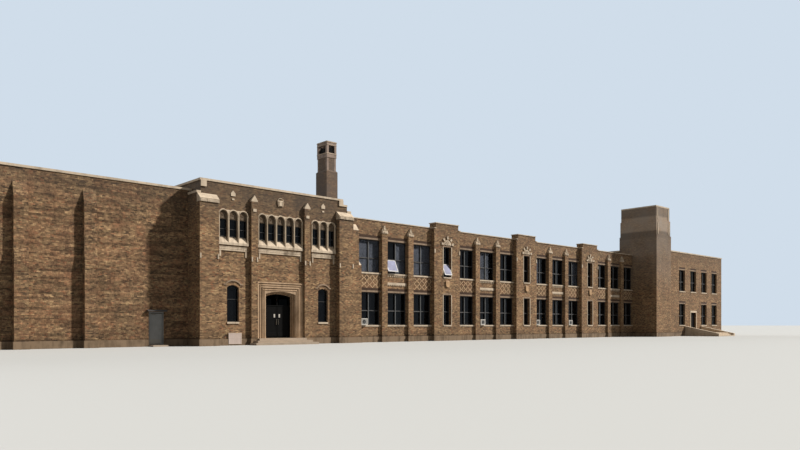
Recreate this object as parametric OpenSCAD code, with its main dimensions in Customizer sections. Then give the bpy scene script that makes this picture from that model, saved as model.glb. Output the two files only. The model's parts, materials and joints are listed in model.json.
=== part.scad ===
// Brick and stone school building, two storeys, as a 1:10 scale model in millimetres.
// X runs along the street front to the right, Y runs inwards, Z is up from the ground.

/* [Scale of the walls] */
// Thickness of the brick walls
wall_t = 42; // [36:1:50]
// Thickness of the upper floor and the roof decks
slab_t = 30; // [20:1:36]
// Height of the coping stones on the parapets
coping_h = 14; // [8:1:20]
// Height of the thinner coping stones on the wing's parapets
wing_coping_h = 7; // [5:1:12]
// How far a coping, sill or plinth stands out from its wall
stone_lip = 5; // [3:0.5:8]

/* [Storeys] */
// Top of the ground floor, which is also the top of the stone plinth
floor_z = 45; // [40:1:60]
// Height of one storey, floor to floor
storey_h = 420; // [400:1:450]
// Height of a window sill above its floor
sill_rise = 93; // [80:1:105]
// Height of the classroom windows
window_h = 263; // [230:1:270]
// Height of a stone window sill
sill_h = 12; // [8:1:16]
// Height of a stone window head
head_h = 14; // [10:1:20]
// Top of the wing's brick parapet
wing_top = 973; // [960:1:1000]
// Top of the wing's roof deck
wing_roof = 925; // [915:1:940]

/* [Classroom wing] */
// Width of the pier between the block and the first classroom window
end_pier_w = 96; // [80:1:110]
// Width of a classroom window
window_w = 233; // [200:1:260]
// Width of a brick pier between two windows
pier_w = 58; // [50:1:80]
// Width of a narrow bay with its slit windows
narrow_w = 324; // [280:1:340]
// Width of a slit window
slit_w = 100; // [80:1:120]
// Windows in each group between narrow bays
group_windows = 3; // [2:1:4]
// Groups of windows along the wing
groups = 4; // [2:1:5]
// Distance from the pier fronts back to the wall face
pier_proud = 20; // [12:1:24]
// Distance from the pier fronts forward to the narrow bays' face
narrow_proud = 15; // [8:1:20]
// Height that a narrow bay's parapet rises above the rest
narrow_rise = 46; // [30:1:60]
// Distance of a raised parapet's ends from the edges of its narrow bay
narrow_inset = 20; // [12:1:30]
// Distance from a narrow bay's face back to its slit windows' frames
slit_set = 27; // [20:1:32]
// Depth of the wing from the pier fronts to the rear face
wing_d = 1660; // [1500:10:1700]

/* [Entrance block] */
// Top of the block's brick parapet
block_top = 1086; // [1060:1:1100]
// Top of the block's roof deck
block_roof = 975; // [960:1:985]
// Width of a corner pier
corner_w = 135; // [120:1:150]
// Projection of the corner piers
corner_proud = 40; // [32:1:46]
// Width of a pilaster
pilaster_w = 50; // [45:1:60]
// Projection of the pilasters
pilaster_proud = 22; // [16:1:28]
// Brick between the middle group of arched windows and a pilaster
middle_gap = 7.5; // [4:0.5:14]
// Brick between a side group of arched windows and its pilaster
side_gap = 16.5; // [8:0.5:24]
// Brick between a side group of arched windows and its corner pier
corner_gap = 12.5; // [6:0.5:20]
// Distance of the block's left parapet from its left edge
parapet_inset = 25; // [15:1:35]

/* [Arched windows] */
// Spacing of the arched windows
arch_pitch = 75; // [70:1:78]
// Width of one arched opening
arch_w = 60; // [50:1:62]
// Bottom of the arched windows' glass
arch_sill_z = 728; // [715:1:740]
// Spring line of the arches
arch_spring_z = 876; // [860:1:890]
// Head of the glass, under the carved tympanum
arch_glass_top = 848; // [835:1:858]
// Radius of the capitals and bases of the small columns between the arches
column_r = 6; // [4:0.5:6]
// Arches in the group over the doorway
middle_arches = 5; // [3:2:7]
// Arches in each side group
side_arches = 3; // [2:1:3]
// Width of the ring of stone round each arch
archivolt_w = 6; // [4:0.5:8]
// Height of the front edge of the sloping sill below the glass
sill_fall = 36; // [28:1:40]

/* [Main doorway] */
// Clear width of the doorway at its door frame
door_clear_w = 220; // [200:1:226]
// Clear width of the doorway at the front
door_front_w = 250; // [246:1:262]
// Height of the doorway's clear opening above the ground floor
door_clear_h = 315; // [300:1:325]
// Distance from the stone front to the door frame's front
door_recess = 48; // [44:1:90]
// Height of a door leaf
leaf_h = 214; // [205:1:220]
// Thickness of a door leaf
leaf_t = 5; // [4:0.5:6]
// Width and depth of a door frame bar
frame_bar = 7; // [6:0.5:9]
// Gap between a door leaf and its frame
leaf_gap = 3; // [2:0.5:4]
// Radius of a door pivot pin
pivot_r = 1.6; // [1.2:0.1:1.8]
// Running clearance round a pivot pin
pivot_clear = 0.3; // [0.2:0.05:0.5]
// Number of steps up to the ground floor
step_count = 3; // [2:1:4]
// Depth of one entrance step
tread = 32; // [28:1:40]

/* [Assembly hall] */
// Number of buttresses along the hall's front
buttresses = 5; // [3:1:5]
// Spacing of the buttresses
buttress_pitch = 377; // [360:1:400]
// Distance from the block to the nearest buttress's left face
buttress_back = 667; // [640:1:690]
// Width of a buttress
buttress_w = 75; // [60:1:90]
// Projection of a buttress
buttress_d = 190; // [160:1:200]
// Distance of the hall's front behind the wing's pier fronts
hall_y = 130; // [120:1:150]
// Depth of the hall from its own front face
hall_d = 2070; // [1900:10:2200]
// Top of the hall's brick parapet
hall_top = 1031; // [1010:1:1050]
// Top of the hall's roof deck
hall_roof = 960; // [940:1:970]
// Top of the hall's floor and of its door step
hall_floor_z = 10; // [8:0.5:14]
// Clear width of the hall door's frame
hall_door_w = 99; // [94:1:106]
// Clear height of the hall door's frame
hall_door_h = 212; // [206:1:218]
// Distance from the block to the hall door's frame
hall_door_back = 165; // [150:1:180]

/* [Tower and pavilion] */
// Width of the tower
tower_w = 358; // [340:1:380]
// Depth of the tower
tower_d = 475; // [450:1:500]
// Projection of the tower in front of the wing's piers
tower_proud = 288; // [280:1:300]
// Top of the tower
tower_top = 1530; // [1500:1:1560]
// Step back of each tower stage
stage_inset = 7; // [4:0.5:9]
// Width of the pavilion, tower included
pavilion_w = 1888; // [1840:1:1920]
// Distance of the pavilion's front behind the tower's front
pavilion_back = 38; // [30:1:46]
// Length of the cheek walls beside the pavilion's steps
cheek_l = 420; // [380:5:450]

/* [Chimney] */
// Width of the chimney along the wing
chimney_w = 143; // [130:1:170]
// Depth of the chimney behind the wing
chimney_d = 191; // [160:1:210]
// Distance of the chimney from the wing's first window
chimney_dx = 912; // [880:1:930]
// Top of the chimney
chimney_top = 2080; // [2040:1:2120]

/* [Hidden] */

// Levels
upper_z = floor_z + storey_h;
sill_z = floor_z + sill_rise;
upper_sill_z = upper_z + sill_rise;

// Plan lines across the front, from the left edge of the entrance block
pilaster_dx = middle_arches * arch_pitch / 2 + middle_gap + pilaster_w / 2;
side_dx = pilaster_dx + pilaster_w / 2 + side_gap + side_arches * arch_pitch / 2;
block_w = 2 * (side_dx + side_arches * arch_pitch / 2 + corner_gap + corner_w);
block_x = 2062;
block_end = block_x + block_w;
block_cx = block_x + block_w / 2;
wing_x = block_end + end_pier_w;
group_w = group_windows * window_w + (group_windows - 1) * pier_w;
period = group_w + narrow_w;
wing_end = wing_x + groups * group_w + (groups - 1) * narrow_w;
pavilion_end = wing_end + pavilion_w;
hall_x = block_x - buttress_back - (buttresses - 1) * buttress_pitch;

// Plan lines from front to back
wing_y = pier_proud;
wing_back = wing_d - wall_t;
hall_back = hall_y + hall_d - wall_t;
pavilion_y = pavilion_back - tower_proud;
tower_y = -tower_proud;
tower_back = tower_y + tower_d;
tower_end = wing_end + tower_w;
steps_y = pavilion_y - cheek_l;

// The model's origin is on the ground, in the middle of its plan
site_cx = (hall_x + pavilion_end) / 2;
site_cy = (steps_y + hall_back + wall_t + stone_lip) / 2;

// Windows
frame_t = 6;
glass_t = 3;
frame_w = 8;
mullion_w = 9;
transom_share = 0.42;
frame_set = 21;
frame_y = wing_y + frame_set;
slit_frame_y = slit_set - narrow_proud;
rear_frame_y = wing_back + 10;

// Doors
stone_y = -6;
door_y = stone_y + door_recess;
leaf_w = (door_clear_w - 2 * frame_bar - 3 * leaf_gap) / 2;
pivot_inset = 4;
pivot_l = 6;
hall_leaf_w = hall_door_w - 2 * frame_bar - 2 * leaf_gap;
hall_leaf_h = hall_door_h - frame_bar - 2 * leaf_gap;
hall_door_x = block_x - hall_door_back - hall_door_w;
hall_door_y = hall_y + 8;
hall_frame_lip = 4;
canopy_over = 14;
canopy_d = 24;
canopy_h = 12;
canopy_gap = 3;
hall_step_d = 70;
frame_depth = 10;
leaf_y = door_y + (frame_depth - leaf_t) / 2;
light_w = 14;
light_h = 26;
light_z = 136;
light_edge = 12;
light_sunk = 1.5;
transom_z = floor_z + frame_bar + 2 * leaf_gap + leaf_h;
door_rise = 20;
door_spring_z = floor_z + door_clear_h - door_rise;
portal_w = 2 * pilaster_dx - pilaster_w;
portal_top = 440;
portal_orders = 4;
roll_r = 4.5;
roll_sunk = 1;
riser = floor_z / step_count;
landing_d = 40;

// Mortar and expansion joints
joint = 0.6;

// Block details
side_w = 90;
side_sill_z = 159;
side_head_z = 390;
side_rise = 18;
side_glass_y = 21;
side_transom_z = 310;
hood_w = side_w + 32;
hood_t = 11;
hood_z = side_head_z + side_rise;
hood_foot = 6;
hood_rise = 31;
hood_end_w = 12;
hood_end_h = 8;
parapet_back = 72;
parapet_x = block_x + parapet_inset;
parapet_end = block_end - parapet_back;
parapet_step = 40;
middle_top = 1046;
side_top = 1001;
corner_cap_z = 940;
corner_stone_w = 40;
corner_stone_proud = 8;
panel_w = 100;
panel_z = 8;
panel_top = 85;
panel_lip = 2;
panel_dx = 12;
stop_stone_rise = 108;
stop_stone_z = upper_z + stop_stone_rise;
stop_stone_w = 10;
stop_stone_h = 32;
pilaster_stone_w = 26;
pilaster_stone_z = 916;
pilaster_stone_h = 20;
motif_w = 34;
motif_z = 1007;
motif_h = 38;
motif_foot_z = 980;
shield_w = 46;
shield_z = 978;
shield_h = 44;
end_pier_low = 605;
end_pier_top = 875;
end_pier_back = 25;
set_off_h = 40;
end_cap_h = 50;
corner_face = 24;
corner_tip = 8;
cap_face = 14;
cap_side = 1.5;
pier_cap_inset = 12;
pier_cap_tip_y = 3;
pier_cap_block_h = 18;
pier_cap_neck_h = 24;
pier_cap_tip_h = 66;
pilaster_eaves_h = 8;
pilaster_cap_h = 44;
pilaster_top = 986;
arcade_back = 14;
arcade_glass_y = arcade_back;
arcade_sill_d = 12;
arcade_sill_h = 52;
arcade_foot_z = arch_sill_z - arcade_sill_h;
arcade_slope_top = arch_sill_z + 4;
archivolt_set = 0.5;
archivolt_r = (arch_w + archivolt_w) / 2 + archivolt_set;
archivolt_t = 4;
tympanum_y = 4;
shaft_r = column_r - 1.5;
capital_h = 12;
base_h = 36;
arch_frame_w = 4;
band_h = 30;
band_gap = 10;
band_z = arcade_foot_z - band_gap - band_h;
band_inset = 8;
drop_w = 12;
drop_h = 38;
drop_inset = 10;

// Wing details
pier_cap_z = 877;
ornament_t = 4;
edge_stone_rise = 202;
edge_stone_z = upper_sill_z + edge_stone_rise;
edge_stone_w = 12;
edge_stone_h = 34;
jamb_stone_w = 8;
jamb_stone_t = 2;
spandrel_band_z = upper_z + 2;
spandrel_band_inset = 10;
small_shield_z = upper_z + 15;
small_shield_w = 34;
small_shield_h = 46;
voussoir_w = 14;
voussoir_l = 22;
voussoir_gap = 4;
tympanum_inset = 4;
spandrel_band_h = 18;
dentil_w = 9;
dentil_h = 8;
dentil_pitch = 20;
sash_t = 3;
sash_tilt = 24;
sash_lap = 3;
ac_windows = [[0, 0], [1, 1], [2, 0], [2, 2]];
ac_w = 65;
ac_inset = 12;
ac_h = 52;
ac_d = 42;
ac_filler_t = 4;
ac_filler_w = window_w / 2 - mullion_w / 2 - ac_inset - ac_w;

// Hall details
buttress_low = 520;
buttress_mid = 575;
buttress_high = 860;
buttress_top = 940;
buttress_tip = 952;
buttress_step = 45;
buttress_head = 20;

// Chimney details
flue_wall = 24;
neck_inset = 12;
neck_w = chimney_w - 2 * neck_inset;
neck_d = chimney_d - 2 * neck_inset;
flue_w = neck_w - 2 * flue_wall;
flue_d = neck_d - 2 * flue_wall;
neck_slope = 14;
lantern_h = 173;
neck_h = 147;
lantern_top_h = 45;
lantern_open_h = 77;
lantern_z = chimney_top - lantern_h;
neck_z = lantern_z - neck_h;
lantern_head_z = chimney_top - lantern_top_h;
lantern_sill_z = lantern_head_z - lantern_open_h;
quoin_w = 22;

// Tower and pavilion details
stage_1_top = 1200;
stage_2_top = 1380;
tower_parapet = 60;
tower_arch_y = -60;
tower_arch_w = 120;
tower_arch_h = 220;
strip_w = 14;
strip_t = 4;
strip_inset = 40;
strip_gap = 10;
pavilion_head_h = 24;
leaf_set = 16;
panelled_t = 8;
panel_sunk = 2;
stile_w = 10;
lock_rail_z = 90;
pavilion_bays = 4;
pavilion_first = 370;
pavilion_pitch = 310;
pavilion_window_w = 160;
pavilion_door_bay = 1;
pavilion_door_w = 150;
pavilion_door_h = 250;
pavilion_door_x = tower_end + pavilion_first + pavilion_door_bay * pavilion_pitch - pavilion_door_w / 2;
pavilion_steps_w = 480;
cheek_w = 40;
cheek_h = 125;
cheek_low = 35;

brick = "#8f7556";
stone = "#d9c9ae";
bronze = "#2c2926";
grey_metal = "#a9adad";
concrete = "#b9b4aa";
glass_tint = "#2f3a44";

// Helpers

module site() translate([-site_cx, -site_cy, 0]) children();

module box(x0, x1, y0, y1, z0, z1) translate([x0, y0, z0]) cube([x1 - x0, y1 - y0, z1 - z0]);

// A profile in (y, z) drawn out along X
module run_x(x0, x1) translate([x0, 0, 0]) rotate([90, 0, 90]) linear_extrude(x1 - x0) children();

// An elevation in (x, z) drawn out along Y
module run_y(y0, y1) translate([0, y1, 0]) rotate([90, 0, 0]) linear_extrude(y1 - y0) children();

function group_x(g) = wing_x + g * period;
function window_x(g, i) = group_x(g) + i * (window_w + pier_w);
function pier_x(g, i) = window_x(g, i) + window_w;
function narrow_x(g) = group_x(g) + group_w;
function slit_x(g) = narrow_x(g) + (narrow_w - slit_w) / 2;

// Places its children at the left foot of each classroom window, for one storey
module each_window(z) {
    for (g = [0:groups - 1], i = [0:group_windows - 1])
        translate([window_x(g, i), 0, z]) children();
}

// Places its children at the left foot of each slit window, for one storey
module each_slit(z) {
    for (g = [0:groups - 2])
        translate([slit_x(g), 0, z]) children();
}

// Places its children at the left edge of each narrow bay
module each_narrow_bay() {
    for (g = [0:groups - 2])
        translate([narrow_x(g), 0, 0]) children();
}

// A hole for a window with room for its stone sill and head
module window_hole(w, h, y0, y1) box(0, w, y0 - 1, y1 + 1, -sill_h, h + head_h);

// A stone sill that fills the foot of a window hole
module sill_stone(w, y0, y1) box(0, w, y0 - stone_lip, y1, -sill_h, 0);

// A stone head that fills the top of a window hole
module head_stone(w, h, y0, y1) box(0, w, y0, y1, h, h + head_h);

// A metal window frame with a mullion and a transom
module frame(w, h, y) {
    light_w = (w - 2 * frame_w - mullion_w) / 2;
    split = h * transom_share;
    difference() {
        box(0, w, y, y + frame_t, 0, h);
        for (x = [frame_w, frame_w + light_w + mullion_w]) {
            box(x, x + light_w, y - 1, y + frame_t + 1, frame_w, split);
            box(x, x + light_w, y - 1, y + frame_t + 1, split + mullion_w, h - frame_w);
        }
    }
}

// A narrow metal frame with a transom
module slit_frame(w, h, y, bar = frame_w) {
    split = h * transom_share;
    difference() {
        box(0, w, y, y + frame_t, 0, h);
        box(bar, w - bar, y - 1, y + frame_t + 1, bar, split);
        box(bar, w - bar, y - 1, y + frame_t + 1, split + bar, h - bar);
    }
}

// The glass behind a frame
module pane(w, h, y) box(0, w, y + frame_t, y + frame_t + glass_t, 0, h);

// Floors and roofs

module ground_floor() {
    color(concrete) site() floor_slabs(0, floor_z);
}

module upper_floor() {
    color(concrete) site() floor_slabs(upper_z - slab_t, upper_z);
}

// The floor of one storey, in one slab for each part of the building
module floor_slabs(z0, z1) {
    inner_end = pavilion_end - wall_t;
    box(block_x + wall_t, block_end, wall_t, wing_back, z0, z1);
    box(block_end + joint, wing_end, wing_y + wall_t, wing_back, z0, z1);
    box(tower_end + joint, inner_end, pavilion_y + wall_t, tower_back, z0, z1);
    box(wing_end + joint, inner_end, tower_back + joint, wing_back, z0, z1);
    box(wing_end + wall_t, inner_end, wing_back + joint, hall_back, z0, z1);
    box(wing_end + wall_t, tower_end - wall_t, tower_y + wall_t, tower_back - wall_t, z0, z1);
}

module hall_floor() {
    color(concrete) site()
        box(hall_x + wall_t, block_x, hall_y + wall_t, hall_back, 0, hall_floor_z);
}

module roof_decks() {
    inner_end = pavilion_end - wall_t;
    color("#6b6862") site() {
        deck(hall_x + wall_t, block_x, hall_y + wall_t, hall_back, hall_roof);
        deck(block_x + wall_t, block_end - wall_t, wall_t, wing_back, block_roof);
        deck(block_end - wall_t, wing_end, wing_y + wall_t, wing_back, wing_roof);
        deck(tower_end, inner_end, pavilion_y + wall_t, tower_back, hall_roof);
        deck(wing_end + wall_t, inner_end, tower_back + joint, hall_back, hall_roof);
        deck(wing_end + wall_t, tower_end - wall_t, tower_y + wall_t, tower_back - wall_t,
             tower_top - tower_parapet);
    }
}

module deck(x0, x1, y0, y1, top) box(x0, x1, y0, y1, top - slab_t, top);

// Stone round the foot and the top of the walls

// The building's filled plan, grown all round by g
module site_plan(g) {
    plan(hall_x, block_x, hall_y, hall_back + wall_t, g);
    for (i = [0:buttresses - 1])
        plan(buttress_x(i), buttress_x(i) + buttress_w, hall_y - buttress_d, hall_y, g);
    plan(block_x, block_end, 0, wing_d, g);
    plan(block_x, block_x + wall_t, wing_d, hall_back + wall_t, g);
    for (x = [block_x, block_end - corner_w]) plan(x, x + corner_w, -corner_proud, 0, g);
    for (s = [-1, 1]) translate([block_cx + s * pilaster_dx, 0])
        plan(-pilaster_w / 2, pilaster_w / 2, -pilaster_proud, 0, g);
    plan(block_end, wing_x, -pier_proud, wing_y, g);
    plan(block_end, wing_end, wing_y, wing_d, g);
    for (g0 = [0:groups - 1], i = [0:group_windows - 2])
        plan(pier_x(g0, i), pier_x(g0, i) + pier_w, 0, wing_y, g);
    each_narrow_bay() plan(0, narrow_w, -narrow_proud, wing_y, g);
    plan(wing_end, tower_end, tower_y, tower_back, g);
    plan(wing_end, pavilion_end, tower_back, hall_back + wall_t, g);
    plan(tower_end, pavilion_end, pavilion_y, tower_back, g);
}

module plan(x0, x1, y0, y1, g) translate([x0 - g, y0 - g]) square([x1 - x0 + 2 * g, y1 - y0 + 2 * g]);

// A course of stone facing round the whole foot, broken at the three doorways
module plinths() {
    color(stone) site() linear_extrude(floor_z) difference() {
        site_plan(stone_lip);
        site_plan(0);
        plan(hall_door_x, hall_door_x + hall_door_w, hall_y - stone_lip, hall_y, 0.01);
        plan(block_cx - portal_w / 2, block_cx + portal_w / 2, -corner_proud, 0, 0.01);
        plan(pavilion_door_x, pavilion_door_x + pavilion_door_w, pavilion_y - stone_lip, pavilion_y, 0.01);
    }
}

// A run of coping stones with its lips, on a wall whose top is at z
module cap(x0, x1, y0, y1, z, h = coping_h) box(x0, x1, y0, y1, z, z + h);

module copings() {
    color(stone) site() {
        hall_copings();
        block_copings();
        wing_copings();
        pavilion_copings();
        tower_copings();
    }
}

module hall_copings() {
    lip = stone_lip;
    y0 = hall_y + wall_t + lip + joint;
    cap(hall_x - lip, parapet_x, hall_y - lip, hall_y + wall_t + lip, hall_top);
    cap(block_x - lip, parapet_x, y0, wing_d - joint, hall_top);
    cap(hall_x - lip, hall_x + wall_t + lip, y0, hall_back - lip - joint, hall_top);
    cap(hall_x - lip, block_x + wall_t + lip, hall_back - lip, hall_back + wall_t + lip, hall_top);
    cap(block_x - lip, block_x + wall_t + lip, wing_d, hall_back - lip - joint, hall_top);
}

module block_copings() {
    lip = stone_lip;
    y0 = wall_t + lip + joint;
    step_x = parapet_end + parapet_step;
    cap(block_x - lip, parapet_x, -lip, hall_y - lip - joint, side_top);
    cap(parapet_x - lip, parapet_end, -lip, wall_t + lip, block_top);
    cap(parapet_x - lip, parapet_x + wall_t + lip, y0, wing_d + lip, block_top);
    cap(parapet_end, step_x, -lip, wall_t + lip, middle_top);
    cap(step_x, block_end + lip, -lip, wall_t + lip, side_top);
    cap(block_end - wall_t - lip, block_end + lip, y0, wing_d + lip, side_top);
    cap(parapet_x + wall_t, block_end - wall_t - lip - joint, wing_back - lip, wing_d + lip, side_top);
}

module wing_copings() {
    lip = stone_lip;
    y1 = wing_y + wall_t + lip;
    y0 = -narrow_proud - lip;
    end = narrow_w - narrow_inset;
    for (g = [0:groups - 1]) {
        x0 = g == 0 ? block_end : group_x(g) - narrow_inset;
        x1 = g == groups - 1 ? wing_end : group_x(g) + group_w + narrow_inset;
        cap(x0, x1, wing_y - lip, y1, wing_top, wing_coping_h);
    }
    each_narrow_bay() {
        cap(narrow_inset - lip, end + lip, y0, y1, wing_top + narrow_rise, wing_coping_h);
        cap(-lip, narrow_inset, y0, wing_y - lip, wing_top, wing_coping_h);
        cap(end, narrow_w + lip, y0, wing_y - lip, wing_top, wing_coping_h);
    }
    cap(block_end, wing_end, wing_back - lip, wing_d + lip, wing_top, wing_coping_h);
}

module pavilion_copings() {
    lip = stone_lip;
    x1 = pavilion_end + lip;
    back = hall_back - lip - joint;
    cap(tower_end, x1, pavilion_y - lip, pavilion_y + wall_t + lip, hall_top);
    cap(pavilion_end - wall_t - lip, x1, pavilion_y + wall_t + lip + joint, back, hall_top);
    cap(wing_end - lip, x1, hall_back - lip, hall_back + wall_t + lip, hall_top);
    cap(wing_end - lip, wing_end + wall_t + lip, tower_back, back, hall_top);
}

module tower_copings() {
    x0 = wing_end + 2 * stage_inset;
    x1 = tower_end - 2 * stage_inset;
    y0 = tower_y + 2 * stage_inset;
    y1 = tower_back - 2 * stage_inset;
    t = wall_t - 2 * stage_inset + stone_lip;
    cap(x0, x1, y0, y0 + t, tower_top);
    cap(x0, x1, y1 - t, y1, tower_top);
    cap(x0, x0 + t, y0 + t + joint, y1 - t - joint, tower_top);
    cap(x1 - t, x1, y0 + t + joint, y1 - t - joint, tower_top);
}

// Assembly hall

function buttress_x(i) = block_x - buttress_back - i * buttress_pitch;

module hall_front_wall() {
    color(brick) site()
        box(hall_x, hall_door_x, hall_y, hall_y + wall_t, 0, hall_top);
}

module hall_wall_beside_door() {
    color(brick) site()
        box(hall_door_x + hall_door_w, block_x, hall_y, hall_y + wall_t, 0, hall_top);
}

module hall_wall_over_door() {
    color(brick) site()
        box(hall_door_x, hall_door_x + hall_door_w, hall_y, hall_y + wall_t,
            hall_floor_z + hall_door_h, hall_top);
}

module hall_end_wall() {
    color(brick) site()
        box(hall_x, hall_x + wall_t, hall_y + wall_t, hall_back, 0, hall_top);
}

// A buttress that steps back twice, each time over a sloping weathering
module hall_buttresses() {
    front = hall_y - buttress_d;
    color(brick) site() for (i = [0:buttresses - 1])
        run_x(buttress_x(i), buttress_x(i) + buttress_w)
            polygon([[front, 0], [front, buttress_low], [front + buttress_step, buttress_mid],
                     [front + buttress_step, buttress_high], [hall_y - buttress_head, buttress_top],
                     [hall_y, buttress_tip], [hall_y, 0]]);
}

module hall_door_frame() {
    x1 = hall_door_x + hall_door_w;
    top = hall_floor_z + hall_door_h;
    color(grey_metal) site() difference() {
        union() {
            box(hall_door_x, x1, hall_door_y - hall_frame_lip, hall_door_y + leaf_t + hall_frame_lip, 0, top);
            box(hall_door_x, x1, hall_y, hall_y + wall_t, 0, hall_floor_z);
        }
        box(hall_door_x + frame_bar, x1 - frame_bar, hall_y, hall_y + wall_t,
            hall_floor_z, top - frame_bar);
        hall_pivot(0, pivot_clear);
    }
}

// The hall door's pivot pins; grow widens them into their sockets
module hall_pivot(reach, grow) {
    z0 = hall_floor_z + leaf_gap;
    x = hall_door_x + frame_bar + leaf_gap + pivot_inset;
    translate([x, hall_door_y + leaf_t / 2, 0]) {
        translate([0, 0, z0 - pivot_l - grow])
            cylinder(r = pivot_r + grow, h = pivot_l + grow + reach, $fn = 32);
        translate([0, 0, z0 + hall_leaf_h - reach])
            cylinder(r = pivot_r + grow, h = pivot_l + grow + reach, $fn = 32);
    }
}

module hall_door() {
    z0 = hall_floor_z + leaf_gap;
    x = hall_door_x + frame_bar + leaf_gap;
    color(grey_metal) site() union() {
        box(x, x + hall_leaf_w, hall_door_y, hall_door_y + leaf_t, z0, z0 + hall_leaf_h);
        hall_pivot(1, 0);
    }
}

module hall_door_canopy() {
    z = hall_floor_z + hall_door_h + canopy_gap;
    front = hall_y - canopy_d;
    color(bronze) site()
        run_x(hall_door_x - canopy_over, hall_door_x + hall_door_w + canopy_over)
            polygon([[hall_y, z], [hall_y, z + canopy_h], [front, z + canopy_h / 2], [front, z]]);
}

// Entrance block

// The wall between block and hall, whose parapet stands back from the block's left edge
module party_wall() {
    x1 = block_x + wall_t;
    color(brick) site() {
        box(block_x, x1, wall_t, hall_y, 0, side_top);
        box(block_x, x1, hall_y, hall_back + wall_t, 0, hall_top);
        box(parapet_x, parapet_x + wall_t, wall_t, wing_back, block_roof, block_top);
        box(parapet_x, parapet_x + wall_t, wing_back, wing_d, side_top, block_top);
    }
}

// The outline of a group of n arched windows, centred on x = 0
module arcade_outline(n) {
    w = n * arch_pitch;
    translate([-w / 2, arcade_foot_z]) square([w, arch_spring_z - arcade_foot_z]);
    intersection() {
        for (i = [0:n - 1])
            translate([(i - (n - 1) / 2) * arch_pitch, arch_spring_z]) circle(d = arch_pitch, $fn = 64);
        translate([-w / 2, arch_spring_z]) square([w, arch_pitch]);
    }
}

// A side window of the ground storey, with a segmental head over its spring line
module segment_outline(w, z0, spring, rise) {
    r = (w * w / 4 + rise * rise) / (2 * rise);
    translate([-w / 2, z0]) square([w, spring - z0]);
    intersection() {
        translate([0, spring + rise - r]) circle(r = r, $fn = 128);
        translate([-w / 2, spring]) square([w, rise]);
    }
}

// A slim arched label over a side window, with its ends turned outwards
module hood_label() {
    spring = hood_z + hood_foot;
    difference() {
        segment_outline(hood_w, hood_z, spring, hood_rise);
        segment_outline(hood_w - 2 * hood_t, hood_z - 1, spring, hood_rise - hood_t);
    }
    for (s = [-1, 1]) translate([s * (hood_w + hood_end_w) / 2, hood_z + hood_end_h / 2])
        square([hood_end_w, hood_end_h], center = true);
}

module side_holes(s) {
    translate([block_cx + s * side_dx, 0, 0]) {
        run_y(-1, wall_t + 1) arcade_outline(side_arches);
        run_y(-1, wall_t + 1) segment_outline(side_w, side_sill_z - sill_h, side_head_z, side_rise);
    }
}

module block_wall_left() {
    inner = block_cx - portal_w / 2;
    line = block_cx - pilaster_dx;
    color(brick) site() difference() {
        run_y(0, wall_t)
            polygon([[block_x, 0], [inner, 0], [inner, portal_top], [line, portal_top],
                     [line, block_top], [parapet_x, block_top], [parapet_x, side_top],
                     [block_x, side_top]]);
        side_holes(-1);
    }
}

module block_wall_right() {
    inner = block_cx + portal_w / 2;
    line = block_cx + pilaster_dx;
    color(brick) site() difference() {
        run_y(0, wall_t)
            polygon([[block_end, 0], [inner, 0], [inner, portal_top], [line, portal_top],
                     [line, block_top], [parapet_end, block_top], [parapet_end, middle_top],
                     [parapet_end + parapet_step, middle_top], [parapet_end + parapet_step, side_top],
                     [block_end, side_top]]);
        side_holes(1);
    }
}

module block_wall_over_door() {
    color(brick) site() difference() {
        box(block_cx - pilaster_dx, block_cx + pilaster_dx, 0, wall_t, portal_top, block_top);
        translate([block_cx, 0, 0]) run_y(-1, wall_t + 1) arcade_outline(middle_arches);
    }
}

// The block's corner piers and the narrower pier beside the wing
module corner_piers() {
    color(brick) site() {
        for (x = [block_x, block_end - corner_w])
            box(x, x + corner_w, -corner_proud, 0, 0, corner_cap_z);
        box(block_end, wing_x, -pier_proud, wing_y, 0, end_pier_low);
        box(block_end, wing_x - end_pier_back, -pier_proud, wing_y, end_pier_low, end_pier_top);
    }
}

module pilasters() {
    color(brick) site() for (s = [-1, 1])
        translate([block_cx + s * pilaster_dx, 0, 0])
            box(-pilaster_w / 2, pilaster_w / 2, -pilaster_proud, 0, 0, pilaster_top);
}

// Main doorway

// The doorway's outline at one width, from the floor to a flat segmental arch
module doorway_outline(w, spring) segment_outline(w, floor_z, spring, door_rise);

// Stone surround whose orders step in towards the doors
module portal_surround() {
    depth = door_recess + frame_depth;
    order_d = depth / portal_orders;
    step = (door_front_w - door_clear_w) / (portal_orders - 1);
    color(stone) site() translate([block_cx, 0, 0]) difference() {
        union() {
            difference() {
                run_y(stone_y, stone_y + depth) translate([-portal_w / 2, 0]) square([portal_w, portal_top]);
                for (k = [0:portal_orders - 1])
                    run_y(stone_y + k * order_d - 0.01, stone_y + (k + 1) * order_d + 0.01)
                        doorway_outline(door_front_w - k * step,
                                        door_spring_z + (portal_orders - 1 - k) * step / 2);
            }
            for (k = [0:portal_orders - 2], s = [-1, 1])
                translate([s * (door_front_w / 2 - k * step / 2 - roll_r + roll_sunk),
                           stone_y + (k + 1) * order_d - roll_r + roll_sunk, floor_z])
                    cylinder(r = roll_r, h = door_spring_z - floor_z + 1, $fn = 32);
        }
        box(-portal_w, portal_w, wall_t, stone_y + depth + 1, -1, floor_z);
        box(-portal_w, portal_w, wall_t, stone_y + depth + 1, upper_z - slab_t, portal_top + 1);
    }
}

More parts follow.
